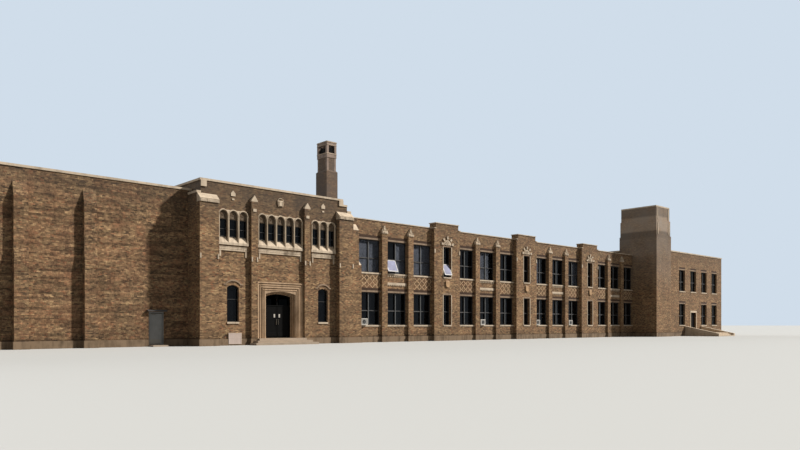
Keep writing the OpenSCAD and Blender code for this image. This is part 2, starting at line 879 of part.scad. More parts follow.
// Bronze frame with a threshold, two uprights, a transom and a fanlight bar
module main_door_frame() {
    half = door_clear_w / 2;
    bar = frame_bar;
    y0 = door_y - 1;
    y1 = door_y + frame_depth + 1;
    color(bronze) site() translate([block_cx, 0, 0]) difference() {
        run_y(door_y, door_y + frame_depth) doorway_outline(door_clear_w, door_spring_z);
        box(bar - half, half - bar, y0, y1, floor_z + bar, transom_z);
        for (s = [-1, 1]) {
            run_y(y0, y1) intersection() {
                segment_outline(door_clear_w - 2 * bar, floor_z, door_spring_z - bar / 2,
                                door_rise - bar / 2);
                translate([s < 0 ? -half : bar / 2, transom_z + bar]) square([half - bar / 2, door_clear_h]);
            }
            leaf_pivots(s, 0, pivot_clear);
        }
    }
}

// Pivot pins of the leaf on side s; grow widens them into their sockets
module leaf_pivots(s, reach, grow) {
    z0 = floor_z + frame_bar + leaf_gap;
    x = s * (door_clear_w / 2 - frame_bar - leaf_gap - pivot_inset);
    translate([x, leaf_y + leaf_t / 2, 0]) {
        translate([0, 0, z0 - pivot_l - grow])
            cylinder(r = pivot_r + grow, h = pivot_l + grow + reach, $fn = 32);
        translate([0, 0, z0 + leaf_h - reach])
            cylinder(r = pivot_r + grow, h = pivot_l + grow + reach, $fn = 32);
    }
}

// One flush leaf, with a small sunk light near its meeting edge
module door_leaf(s) {
    z0 = floor_z + frame_bar + leaf_gap;
    outer = door_clear_w / 2 - frame_bar - leaf_gap;
    light_x = s * (outer - leaf_w + light_edge + light_w / 2);
    color(bronze) site() translate([block_cx, 0, 0]) union() {
        difference() {
            box(s < 0 ? -outer : outer - leaf_w, s < 0 ? leaf_w - outer : outer,
                leaf_y, leaf_y + leaf_t, z0, z0 + leaf_h);
            box(light_x - light_w / 2, light_x + light_w / 2, leaf_y - 1, leaf_y + light_sunk,
                z0 + light_z, z0 + light_z + light_h);
        }
        leaf_pivots(s, 1, 0);
    }
}

module left_door_leaf() door_leaf(-1);

module right_door_leaf() door_leaf(1);

// The landing and steps before the main doorway, and the step at the hall door
module entrance_steps() {
    front = stone_y - landing_d;
    color(concrete) site() {
        translate([block_cx, 0, 0])
            for (k = [0:step_count - 1])
                box(-portal_w / 2 - k * tread, portal_w / 2 + k * tread, front - k * tread,
                    k == 0 ? stone_y : -pilaster_proud - stone_lip - joint, 0, floor_z - k * riser);
        box(hall_door_x, hall_door_x + hall_door_w, hall_y - hall_step_d, hall_y, 0, hall_floor_z);
    }
}

// Arched windows

module arched_windows() {
    color(stone) site() {
        for (s = [-1, 1]) arcade(block_cx + s * side_dx, side_arches);
        arcade(block_cx, middle_arches);
    }
}

module arcade(cx, n) {
    half = n * arch_pitch / 2;
    translate([cx, 0, 0]) difference() {
        union() {
            run_y(-stone_lip, arcade_back) arcade_outline(n);
            for (i = [1:n - 1]) arcade_column(i * arch_pitch - half);
            for (s = [-1, 1]) arcade_column(s * (half - column_r));
            for (i = [0:n - 1]) translate([arch_x(i, n), 0, 0])
                run_y(-stone_lip - archivolt_t, -stone_lip) archivolt();
        }
        for (i = [0:n - 1]) translate([arch_x(i, n), 0, 0]) {
            box(-arch_w / 2, arch_w / 2, -stone_lip - 1, wall_t, arcade_foot_z - 1, arch_glass_top);
            run_y(-stone_lip - 1, tympanum_y) intersection() {
                union() {
                    translate([0, arch_spring_z]) circle(d = arch_w, $fn = 48);
                    translate([-arch_w / 2, arch_glass_top])
                        square([arch_w, arch_spring_z - arch_glass_top]);
                }
                translate([-arch_w / 2, arch_glass_top]) square([arch_w, arch_pitch]);
            }
        }
        run_x(-half - 1, half + 1) difference() {
            translate([-arch_pitch, arcade_foot_z - 1])
                square([2 * arch_pitch, arcade_slope_top - arcade_foot_z + 2]);
            arcade_above_sill();
        }
    }
}

function arch_x(i, n) = (i - (n - 1) / 2) * arch_pitch;

// The space over the sloping sill, as a profile in (y, z)
module arcade_above_sill()
    polygon([[-arch_pitch - 1, arcade_nose_z()], [-arcade_sill_d, arcade_nose_z()],
             [arcade_back, arcade_slope_top], [arch_pitch + 1, arcade_slope_top],
             [arch_pitch + 1, arch_spring_z], [-arch_pitch - 1, arch_spring_z]]);

function arcade_nose_z() = arch_sill_z - sill_fall;

// A ring of stone round the upper half of one arch
module archivolt() translate([0, arch_spring_z]) intersection() {
    difference() {
        circle(r = archivolt_r + archivolt_w / 2, $fn = 64);
        circle(r = archivolt_r - archivolt_w / 2, $fn = 64);
    }
    translate([-arch_pitch, 0]) square([2 * arch_pitch, arch_pitch]);
}

// A small column with its base and its flaring capital, set against the stone
module arcade_column(x) translate([x, -column_r, 0]) {
    translate([0, 0, arcade_foot_z]) cylinder(r = column_r, h = base_h, $fn = 32);
    translate([0, 0, arcade_foot_z]) cylinder(r = shaft_r, h = arch_spring_z - arcade_foot_z, $fn = 32);
    translate([0, 0, arch_spring_z - capital_h])
        cylinder(r1 = shaft_r, r2 = column_r, h = capital_h, $fn = 32);
}

// Places its children at the centre line of each arched window
module each_arch() {
    for (s = [-1, 1], i = [0:side_arches - 1])
        translate([block_cx + s * side_dx + arch_x(i, side_arches), 0, 0]) children();
    for (i = [0:middle_arches - 1])
        translate([block_cx + arch_x(i, middle_arches), 0, 0]) children();
}

// Sloping sills under the arched windows, the carved band below and its drops
module arcade_sills() {
    color(stone) site() {
        for (s = [-1, 1]) sill_group(block_cx + s * side_dx, side_arches);
        sill_group(block_cx, middle_arches);
    }
}

module sill_group(cx, n) {
    half = n * arch_pitch / 2;
    run_x(cx - half, cx + half)
        polygon([[wall_t, arcade_slope_top], [arcade_back, arcade_slope_top],
                 [-arcade_sill_d, arcade_nose_z()], [-arcade_sill_d, arcade_foot_z],
                 [wall_t, arcade_foot_z]]);
    box(cx - half + band_inset, cx + half - band_inset, -stone_lip, 0, band_z, band_z + band_h);
    for (s = [-1, 1]) translate([cx + s * (half - drop_inset - drop_w / 2), 0, 0])
        box(-drop_w / 2, drop_w / 2, -stone_lip, 0, band_z - drop_h, band_z);
}

module pier_caps() {
    color(stone) site() {
        for (x = [block_x, block_end - corner_w]) corner_cap(x - cap_side, x + corner_w + cap_side);
        for (s = [-1, 1]) translate([block_cx + s * pilaster_dx, 0, 0]) pilaster_cap();
        weathering(wing_x - end_pier_back, wing_x, end_pier_low, set_off_h);
        weathering(block_end, wing_x - end_pier_back, end_pier_top, end_cap_h);
        for (g = [0:groups - 1], i = [0:group_windows - 2])
            translate([pier_x(g, i), 0, 0]) wing_pier_cap();
    }
}

// A square stone with a sloping top behind it, on a corner pier
module corner_cap(x0, x1) {
    front = -corner_proud - stone_lip;
    run_x(x0, x1)
        polygon([[0, corner_cap_z], [front, corner_cap_z], [front, corner_cap_z + corner_face],
                 [-corner_proud, corner_cap_z + corner_face + stone_lip],
                 [-corner_tip, side_top - 3], [0, side_top]]);
}

// A plain sloping stone where the end pier steps in
module weathering(x0, x1, z, h) run_x(x0, x1) polygon([[wing_y, z], [-pier_proud, z], [wing_y, z + h]]);

// A pointed stone as wide as its pilaster
module pilaster_cap() run_y(-pilaster_proud, 0) translate([0, pilaster_top])
    pointed_outline(pilaster_w, pilaster_eaves_h, pilaster_cap_h);

// An upright stone that comes to a point, centred on x = 0
module pointed_outline(w, eaves, tip)
    polygon([[-w / 2, 0], [w / 2, 0], [w / 2, eaves], [0, tip], [-w / 2, eaves]]);

// A block with a sloping top, and a narrower pointed stone above it
module wing_pier_cap() {
    z = pier_cap_z + cap_face;
    run_x(0, pier_w)
        polygon([[wing_y, pier_cap_z], [-stone_lip, pier_cap_z], [-stone_lip, z],
                 [0, pier_cap_z + pier_cap_block_h], [wing_y, pier_cap_z + pier_cap_block_h]]);
    translate([pier_w / 2, 0, pier_cap_z]) run_y(pier_cap_tip_y, wing_y) difference() {
        pointed_outline(pier_w - 2 * pier_cap_inset, pier_cap_block_h + pier_cap_neck_h, pier_cap_tip_h);
        translate([-pier_w, -1]) square([2 * pier_w, pier_cap_block_h + 1]);
    }
}

// Window stones, frames and glass

module window_sills() {
    y1 = wing_y + wall_t;
    color(stone) site() {
        for (z = [sill_z, upper_sill_z]) {
            each_window(z) sill_stone(window_w, wing_y, y1);
            each_slit(z) sill_stone(slit_w, -narrow_proud, y1);
            each_window(z) sill_stone_rear(window_w);
            for (i = [-1:1]) translate([rear_block_x(i), 0, z]) sill_stone_rear(window_w);
            each_pavilion_window(z) sill_stone(pavilion_window_w, pavilion_y, pavilion_y + wall_t);
        }
        for (s = [-1, 1])
            translate([block_cx + s * side_dx - side_w / 2, 0, side_sill_z])
                sill_stone(side_w, 0, wall_t);
    }
}

module sill_stone_rear(w) box(0, w, wing_back, wing_d + stone_lip, -sill_h, 0);

module window_heads() {
    y1 = wing_y + wall_t;
    color(stone) site() {
        for (z = [sill_z, upper_sill_z]) {
            each_window(z) head_stone(window_w, window_h, wing_y, y1);
            each_slit(z) head_stone(slit_w, window_h, -narrow_proud, y1);
            each_window(z) head_stone(window_w, window_h, wing_back, wing_d);
            for (i = [-1:1]) translate([rear_block_x(i), 0, z])
                head_stone(window_w, window_h, wing_back, wing_d);
            each_pavilion_window(z)
                head_stone(pavilion_window_w, window_h, pavilion_y, pavilion_y + wall_t);
        }
        for (s = [-1, 1]) translate([block_cx + s * side_dx, 0, 0]) run_y(-stone_lip, 0) hood_label();
    }
}

module window_frames() {
    color(bronze) site() {
        for (z = [sill_z, upper_sill_z]) {
            each_window(z) frame(window_w, window_h, frame_y);
            each_slit(z) slit_frame(slit_w, window_h, slit_frame_y);
            each_window(z) frame(window_w, window_h, rear_frame_y);
            for (i = [-1:1]) translate([rear_block_x(i), 0, z])
                frame(window_w, window_h, rear_frame_y);
            each_pavilion_window(z) frame(pavilion_window_w, window_h, pavilion_y + frame_set);
        }
        each_arch() translate([-arch_w / 2, 0, arcade_slope_top])
            slit_frame(arch_w, arch_glass_top - arcade_slope_top, arcade_glass_y - frame_t, arch_frame_w);
        for (s = [-1, 1]) translate([block_cx + s * side_dx, 0, 0]) side_frame();
    }
}

// A side window's frame, with its arched head and one transom
module side_frame() {
    bar = arch_frame_w;
    difference() {
        run_y(side_glass_y - frame_t, side_glass_y)
            segment_outline(side_w, side_sill_z, side_head_z, side_rise);
        run_y(side_glass_y - frame_t - 1, side_glass_y + 1) difference() {
            segment_outline(side_w - 2 * bar, side_sill_z + bar, side_head_z - bar, side_rise);
            translate([-side_w, side_transom_z]) square([2 * side_w, bar]);
        }
    }
}

module window_glass() {
    color(glass_tint) site() {
        for (z = [sill_z, upper_sill_z]) {
            each_window(z) pane(window_w, window_h, frame_y);
            each_slit(z) pane(slit_w, window_h, slit_frame_y);
            each_window(z) pane(window_w, window_h, rear_frame_y);
            for (i = [-1:1]) translate([rear_block_x(i), 0, z])
                pane(window_w, window_h, rear_frame_y);
            each_pavilion_window(z) pane(pavilion_window_w, window_h, pavilion_y + frame_set);
        }
        for (s = [-1, 1]) translate([block_cx + s * side_dx, 0, 0]) {
            run_y(side_glass_y, side_glass_y + glass_t)
                segment_outline(side_w, side_sill_z, side_head_z, side_rise);
            arcade_pane(side_arches);
        }
        translate([block_cx, 0, 0]) arcade_pane(middle_arches);
    }
}

// One sheet of glass behind a group of n arched windows
module arcade_pane(n)
    box(-n * arch_pitch / 2, n * arch_pitch / 2, arcade_glass_y, arcade_glass_y + glass_t,
        arcade_slope_top, arch_spring_z - 5);

function rear_block_x(i) = block_cx + i * side_dx - window_w / 2;

// Chimney

module at_chimney()
    translate([wing_x + chimney_dx + chimney_w / 2, wing_d + stone_lip + chimney_d / 2, 0]) children();

module post(w, d, z0, z1) translate([-w / 2, -d / 2, z0]) cube([w, d, z1 - z0]);

// A block whose four sides slope in by the same inset
module sloped_block(w, d, inset, z0, z1) intersection() {
    run_y(-d, d) polygon([[-w / 2, z0], [w / 2, z0], [w / 2 - inset, z1], [inset - w / 2, z1]]);
    run_x(-w, w) polygon([[-d / 2, z0], [d / 2, z0], [d / 2 - inset, z1], [inset - d / 2, z1]]);
}

// Square strips at the neck's four corners, which reach past its faces by over
module corner_strips(over, z0, z1) {
    side = quoin_w + over;
    for (sx = [-1, 1], sy = [-1, 1])
        translate([sx * (neck_w - quoin_w + over) / 2, sy * (neck_d - quoin_w + over) / 2, z0])
            linear_extrude(z1 - z0) square(side, center = true);
}

// Brick shaft: a plain foot, then a narrower neck with its corners left out
module chimney_shaft() {
    color(brick) site() at_chimney() difference() {
        union() {
            post(chimney_w, chimney_d, 0, neck_z);
            sloped_block(chimney_w, chimney_d, neck_inset, neck_z, neck_z + neck_slope);
            post(neck_w, neck_d, neck_z + neck_slope, lantern_z);
        }
        corner_strips(1, neck_z + neck_slope, chimney_top);
        post(flue_w, flue_d, floor_z, chimney_top);
    }
}

// Stone corner strips, a stone band, four open sides and a stone top
module chimney_lantern() {
    color(stone) site() at_chimney() difference() {
        union() {
            corner_strips(0, neck_z + neck_slope, lantern_z);
            post(neck_w + 2 * ornament_t, neck_d + 2 * ornament_t, lantern_z, chimney_top);
        }
        post(flue_w, flue_d, lantern_z - 1, chimney_top + 1);
        box(quoin_w - neck_w / 2, neck_w / 2 - quoin_w, -neck_d, neck_d, lantern_sill_z, lantern_head_z);
        box(-neck_w, neck_w, quoin_w - neck_d / 2, neck_d / 2 - quoin_w, lantern_sill_z, lantern_head_z);
    }
}

// Classroom wing

module wing_wall() {
    color(brick) site() difference() {
        union() {
            box(block_end, wing_end, wing_y, wing_y + wall_t, 0, wing_top);
            raised_parapets(wing_y, wing_y + wall_t);
        }
        for (z = [sill_z, upper_sill_z]) {
            each_window(z) window_hole(window_w, window_h, wing_y, wing_y + wall_t);
            each_slit(z) window_hole(slit_w, window_h, wing_y, wing_y + wall_t);
        }
    }
}

// The higher parapets of the narrow bays, from y0 to y1
module raised_parapets(y0, y1) each_narrow_bay()
    box(narrow_inset, narrow_w - narrow_inset, y0, y1, wing_top - 1, wing_top + narrow_rise);

module wing_piers() {
    color(brick) site() for (g = [0:groups - 1], i = [0:group_windows - 2])
        translate([pier_x(g, i), 0, 0]) box(0, pier_w, 0, wing_y, 0, pier_cap_z);
}

module narrow_bays() {
    color(brick) site() difference() {
        union() {
            each_narrow_bay() box(0, narrow_w, -narrow_proud, wing_y, 0, wing_top);
            raised_parapets(-narrow_proud, wing_y);
        }
        for (z = [sill_z, upper_sill_z])
            each_slit(z) window_hole(slit_w, window_h, -narrow_proud, wing_y);
    }
}

// Stone ornament of the wing and of the block
module stone_ornament() {
    color(stone) site() {
        wing_ornament();
        block_ornament();
    }
}

module wing_ornament() {
    y = -narrow_proud;
    each_narrow_bay() translate([narrow_w / 2, 0, 0]) {
        run_y(y - ornament_t, y) slit_ornament();
        for (s = [-1, 1]) {
            translate([s * (narrow_w - edge_stone_w) / 2, 0, 0]) edge_stone(y);
            for (z = [sill_z, upper_sill_z]) translate([s * (slit_w + jamb_stone_w) / 2, 0, 0])
                box(-jamb_stone_w / 2, jamb_stone_w / 2, y - jamb_stone_t, y, z, z + window_h);
        }
    }
    translate([wing_x - edge_stone_w, 0, 0]) edge_stone(wing_y);
    for (g = [0:groups - 1]) translate([window_x(g, 1) + spandrel_band_inset, 0, 0]) spandrel_band();
}

// A stone band with a row of dentils hanging from its lower edge
module spandrel_band() {
    w = window_w - 2 * spandrel_band_inset;
    n = floor((w + dentil_w) / dentil_pitch);
    first = (w - (n - 1) * dentil_pitch - dentil_w) / 2;
    run_y(wing_y - ornament_t, wing_y) {
        translate([0, spandrel_band_z]) square([w, spandrel_band_h]);
        for (i = [0:n - 1])
            translate([first + i * dentil_pitch, spandrel_band_z - dentil_h])
                square([dentil_w, dentil_h + 1]);
    }
}

// A small stone near the edge of a bay, on the wall face at y
module edge_stone(y)
    box(-edge_stone_w / 2, edge_stone_w / 2, y - ornament_t, y, edge_stone_z, edge_stone_z + edge_stone_h);

module block_ornament() {
    for (x = [parapet_x, parapet_end - corner_stone_w])
        box(x, x + corner_stone_w, -corner_stone_proud, 0, block_top - corner_stone_w, block_top);
    blank_panel();
    for (x = [block_x, block_end - corner_w]) stop_stones(x, x + corner_w, -corner_proud);
    for (s = [-1, 1]) {
        x = block_cx + s * pilaster_dx;
        stop_stones(x - pilaster_w / 2, x + pilaster_w / 2, -pilaster_proud);
        box(x - pilaster_stone_w / 2, x + pilaster_stone_w / 2, -pilaster_proud - ornament_t, -pilaster_proud,
            pilaster_stone_z, pilaster_stone_z + pilaster_stone_h);
        translate([block_cx + s * side_dx, 0, 0]) run_y(-ornament_t, 0) group_motif();
    }
    translate([block_cx, 0, shield_z]) run_y(-stone_lip, 0) shield(shield_w, shield_h);
}

// A blank stone panel under the left side window, which laps over the plinth
module blank_panel() {
    x = block_cx - side_dx + panel_dx;
    front = -stone_lip - panel_lip;
    run_x(x - panel_w / 2, x + panel_w / 2)
        polygon([[0, panel_top], [front, panel_top], [front, panel_z], [-stone_lip, panel_z],
                 [-stone_lip, floor_z], [0, floor_z]]);
}

// Two small stones on the front edges of a pier
module stop_stones(x0, x1, y)
    for (x = [x0, x1 - stop_stone_w])
        box(x, x + stop_stone_w, y - ornament_t, y, stop_stone_z, stop_stone_z + stop_stone_h);

// A pointed stone over a small square one
module group_motif() {
    polygon([[-motif_w / 2, motif_z], [motif_w / 2, motif_z], [motif_w / 2, motif_z + motif_h / 2],
             [0, motif_z + motif_h], [-motif_w / 2, motif_z + motif_h / 2]]);
    translate([-motif_w / 4, motif_foot_z]) square([motif_w / 2, motif_w / 3]);
}

// A plain shield whose foot is round
module shield(w, h) {
    translate([-w / 2, w / 2]) square([w, h - w / 2]);
    intersection() {
        translate([0, w / 2]) circle(d = w, $fn = 48);
        translate([-w / 2, 0]) square([w, w / 2 + 0.01]);
    }
}

// Tympanum, five radiating stones and a shield, in elevation about a slit's centre line
module slit_ornament() {
    head = upper_sill_z + window_h + head_h;
    translate([0, head]) intersection() {
        circle(d = slit_w - 2 * tympanum_inset, $fn = 64);
        translate([-slit_w / 2, 0]) square([slit_w, slit_w / 2]);
    }
    for (a = [-80, -42, 0, 42, 80])
        translate([0, head]) rotate(-a) translate([-voussoir_w / 2, slit_w / 2 + voussoir_gap])
            square([voussoir_w, voussoir_l]);
    translate([0, small_shield_z]) shield(small_shield_w, small_shield_h);
}

// A top-hung sash left open in one upper window and one upper slit
module open_sashes() {
    sash_h = window_h * transom_share - frame_w;
    half_w = (window_w - 2 * frame_w - mullion_w) / 2;
    color(bronze) site() {
        translate([window_x(0, 1) + frame_w, frame_y, upper_sill_z + frame_w]) sash(half_w, sash_h);
        translate([slit_x(0) + frame_w, slit_frame_y, upper_sill_z + frame_w])
            sash(slit_w - 2 * frame_w, sash_h);
    }
}

// A sash hung from its top edge, which laps the frame, and pushed out at the foot
module sash(w, h) {
    top = h + sash_lap;
    translate([-sash_lap, -sash_t, top]) rotate([-sash_tilt, 0, 0]) translate([0, 0, -top])
        cube([w + 2 * sash_lap, sash_t, top]);
}

// Window air conditioners, each with a thin panel that fills the rest of its light
module air_conditioners() {
    color("#d6d0c4") site() for (place = ac_windows)
        translate([window_x(place[0], place[1]) + ac_inset, 0, sill_z]) union() {
            box(0, ac_w, frame_y - ac_d, frame_y, 0, ac_h);
            box(ac_w, ac_w + ac_filler_w, frame_y - ac_filler_t, frame_y, 0, ac_h);
        }
}

// Walls at the rear

module rear_wall() {
    color(brick) site() {
        difference() {
            union() {
                box(block_x + wall_t, block_end, wing_back, wing_d, 0, side_top);
                box(block_end, wing_end, wing_back, wing_d, 0, wing_top);
            }
            for (z = [sill_z, upper_sill_z]) {
                each_window(z) window_hole(window_w, window_h, wing_back, wing_d);
                for (i = [-1:1]) translate([rear_block_x(i), 0, z])
                    window_hole(window_w, window_h, wing_back, wing_d);
            }
        }
        box(hall_x, block_x, hall_back, hall_back + wall_t, 0, hall_top);
        box(wing_end, pavilion_end, hall_back, hall_back + wall_t, 0, hall_top);
    }
}

// Tower and pavilion

// The tower's three stages, each stepped back from the one below
module tower() {
    color(brick) site() difference() {
        union() {
            tower_stage(0, 0, stage_1_top);
            tower_stage(1, stage_1_top, stage_2_top);
            tower_stage(2, stage_2_top, tower_top);
        }
        box(wing_end + wall_t, tower_end - wall_t, tower_y + wall_t, tower_back - wall_t, -1, tower_top + 1);
        for (z = [floor_z, upper_z])
            box(tower_end - wall_t - 1, tower_end + 1, tower_arch_y, tower_arch_y + tower_arch_w,
                z, z + tower_arch_h);
    }
}

module tower_stage(k, z0, z1) {
    inset = k * stage_inset;
    box(wing_end + inset, tower_end - inset, tower_y + inset, tower_back - inset, z0, z1);
}

// Stone strips near the tower's front corners and round the pavilion door
module pavilion_stonework() {
    inset = 2 * stage_inset;
    color(stone) site() {
        for (x = [wing_end + strip_inset, tower_end - strip_inset - strip_w]) {
            box(x, x + strip_w, tower_y + inset - strip_t, tower_y + inset,
                stage_2_top + strip_gap, tower_top - strip_gap);
            box(x, x + strip_w, tower_y + stage_inset - strip_t, tower_y + stage_inset,
                stage_1_top + strip_gap, stage_2_top - strip_inset);
        }
        for (x = [pavilion_door_x - strip_w, pavilion_door_x + pavilion_door_w])
            box(x, x + strip_w, pavilion_y - stone_lip, pavilion_y, floor_z, floor_z + pavilion_door_h);
        box(pavilion_door_x - strip_w, pavilion_door_x + pavilion_door_w + strip_w,
            pavilion_y - stone_lip, pavilion_y,
            floor_z + pavilion_door_h, floor_z + pavilion_door_h + pavilion_head_h);
    }
}

// Places its children at the left foot of each pavilion window, for one storey
module each_pavilion_window(z) {
    for (i = [0:pavilion_bays - 1])
        if (z > upper_z || i != pavilion_door_bay)
            translate([pavilion_window_x(i), 0, z]) children();
}

function pavilion_window_x(i) = tower_end + pavilion_first + i * pavilion_pitch - pavilion_window_w / 2;

module pavilion_front_wall() {
    color(brick) site() difference() {
        box(tower_end, pavilion_end, pavilion_y, pavilion_y + wall_t, 0, hall_top);
        for (z = [sill_z, upper_sill_z])
            each_pavilion_window(z)
                window_hole(pavilion_window_w, window_h, pavilion_y, pavilion_y + wall_t);
        box(pavilion_door_x, pavilion_door_x + pavilion_door_w, pavilion_y - 1, pavilion_y + wall_t + 1,
            floor_z, floor_z + pavilion_door_h);
    }
}

module pavilion_end_wall() {
    color(brick) site() {
        box(pavilion_end - wall_t, pavilion_end, pavilion_y + wall_t, hall_back, 0, hall_top);
        box(wing_end, wing_end + wall_t, wing_back, hall_back, 0, hall_top);
    }
}

// Walls that rise from the wing's roof beside the higher parts
module roof_side_walls() {
    color(brick) site() {
        box(block_end - wall_t, block_end, wall_t, wing_back, wing_roof, side_top);
        box(wing_end, wing_end + wall_t, tower_back, wing_back, wing_roof, hall_top);
    }
}

// A fixed pair of panelled leaves under one low light
module pavilion_door() {
    y = pavilion_y + leaf_set;
    half = pavilion_door_w / 2;
    color(bronze) site() translate([pavilion_door_x + half, 0, floor_z]) difference() {
        box(-half, half, y, y + panelled_t, 0, pavilion_door_h);
        for (s = [-1, 1]) translate([s * half / 2, 0, 0])
            box(stile_w - half / 2, half / 2 - stile_w, y - 1, y + panel_sunk, lock_rail_z, leaf_h - stile_w);
        box(stile_w - half, half - stile_w, y - 1, y + panel_sunk, leaf_h, pavilion_door_h - stile_w);
    }
}

// Low steps up to a landing between two long cheek walls with sloping tops
module pavilion_steps() {
    x0 = pavilion_door_x + pavilion_door_w / 2 - pavilion_steps_w / 2;
    x1 = x0 + pavilion_steps_w;
    y1 = pavilion_y - stone_lip;
    color(stone) site() {
        for (x = [x0, x1 - cheek_w])
            run_x(x, x + cheek_w)
                polygon([[y1, 0], [y1, cheek_h], [steps_y, cheek_low], [steps_y, 0]]);
        run_x(x0 + cheek_w, x1 - cheek_w)
            polygon(concat([[y1, 0], [y1, floor_z]],
                           [for (k = [0:step_count - 1], end = [0, 1])
                                [steps_y + (step_count - 1 - k) * tread, floor_z - (k + end) * riser]]));
    }
}

ground_floor();
hall_floor();
upper_floor();
roof_decks();
plinths();
copings();
hall_front_wall();
hall_wall_beside_door();
hall_wall_over_door();
hall_end_wall();
hall_buttresses();
hall_door_frame();
hall_door();
hall_door_canopy();
party_wall();
block_wall_left();
block_wall_right();
block_wall_over_door();
roof_side_walls();
corner_piers();
pilasters();
portal_surround();
main_door_frame();
left_door_leaf();
right_door_leaf();
entrance_steps();
arched_windows();
arcade_sills();
pier_caps();
window_sills();
window_heads();
window_frames();
window_glass();
chimney_shaft();
chimney_lantern();
wing_wall();
wing_piers();
narrow_bays();
stone_ornament();
open_sashes();
air_conditioners();
rear_wall();
tower();
pavilion_stonework();
pavilion_front_wall();
pavilion_end_wall();
pavilion_door();
pavilion_steps();
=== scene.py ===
"""Finishes, trim and studio for the 1:10 model of a brick school building.

Lengths are metres at the model's scale, in the CAD frame: X runs along the street front to the
right, Y inwards from the street and Z up. Patterns in materials are laid out in full-size metres.
"""
import json
import math

import bpy
from mathutils import Matrix, Vector


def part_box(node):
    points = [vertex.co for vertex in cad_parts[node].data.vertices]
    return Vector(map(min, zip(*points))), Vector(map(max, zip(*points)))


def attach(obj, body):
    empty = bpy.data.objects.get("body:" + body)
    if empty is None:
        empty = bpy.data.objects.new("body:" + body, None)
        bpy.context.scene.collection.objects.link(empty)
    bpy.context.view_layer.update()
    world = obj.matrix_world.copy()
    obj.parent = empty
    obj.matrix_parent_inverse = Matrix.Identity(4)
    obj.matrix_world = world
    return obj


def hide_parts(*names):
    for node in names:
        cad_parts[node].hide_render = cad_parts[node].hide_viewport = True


bl_info = {
    "name": "School Building Finishes",
    "version": (1, 0, 0),
    "blender": (4, 5, 0),
    "location": "View3D > Sidebar > School",
    "description": "Brickwork, carved stone, glazing and fittings for a model school building",
    "category": "Object",
}

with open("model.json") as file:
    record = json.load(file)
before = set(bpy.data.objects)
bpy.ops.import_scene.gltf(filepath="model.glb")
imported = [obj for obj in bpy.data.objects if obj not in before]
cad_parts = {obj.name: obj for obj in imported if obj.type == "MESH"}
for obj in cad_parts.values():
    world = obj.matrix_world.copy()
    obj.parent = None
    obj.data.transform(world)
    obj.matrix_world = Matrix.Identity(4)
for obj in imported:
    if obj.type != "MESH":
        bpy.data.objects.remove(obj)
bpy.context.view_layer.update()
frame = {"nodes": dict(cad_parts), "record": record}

MODEL_SCALE = 10.0
OUT = Vector((0.0, -1.0, 0.0))
UP = Vector((0.0, 0.0, 1.0))
LEFT = Vector((-1.0, 0.0, 0.0))
HALF_TURN = Matrix.Rotation(math.pi, 4, "Z")

# How nearly a face has to look one way, how near points merge, and the sharpest smooth edge
FACING = 0.9
MERGE = 1e-6
SMOOTH_ANGLE = math.radians(38)


def paint(red, green, blue):
    """A linear colour from the 0 to 255 values of a colour chart."""
    def linear(value):
        share = value / 255
        return share / 12.92 if share <= 0.04045 else ((share + 0.055) / 1.055) ** 2.4
    return (linear(red), linear(green), linear(blue), 1.0)


def grey(level):
    """A neutral linear colour."""
    return (level, level, level, 1.0)


# Places worked out from the frame

def box(node):
    """Lowest and highest corner of a CAD node."""
    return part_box(node)


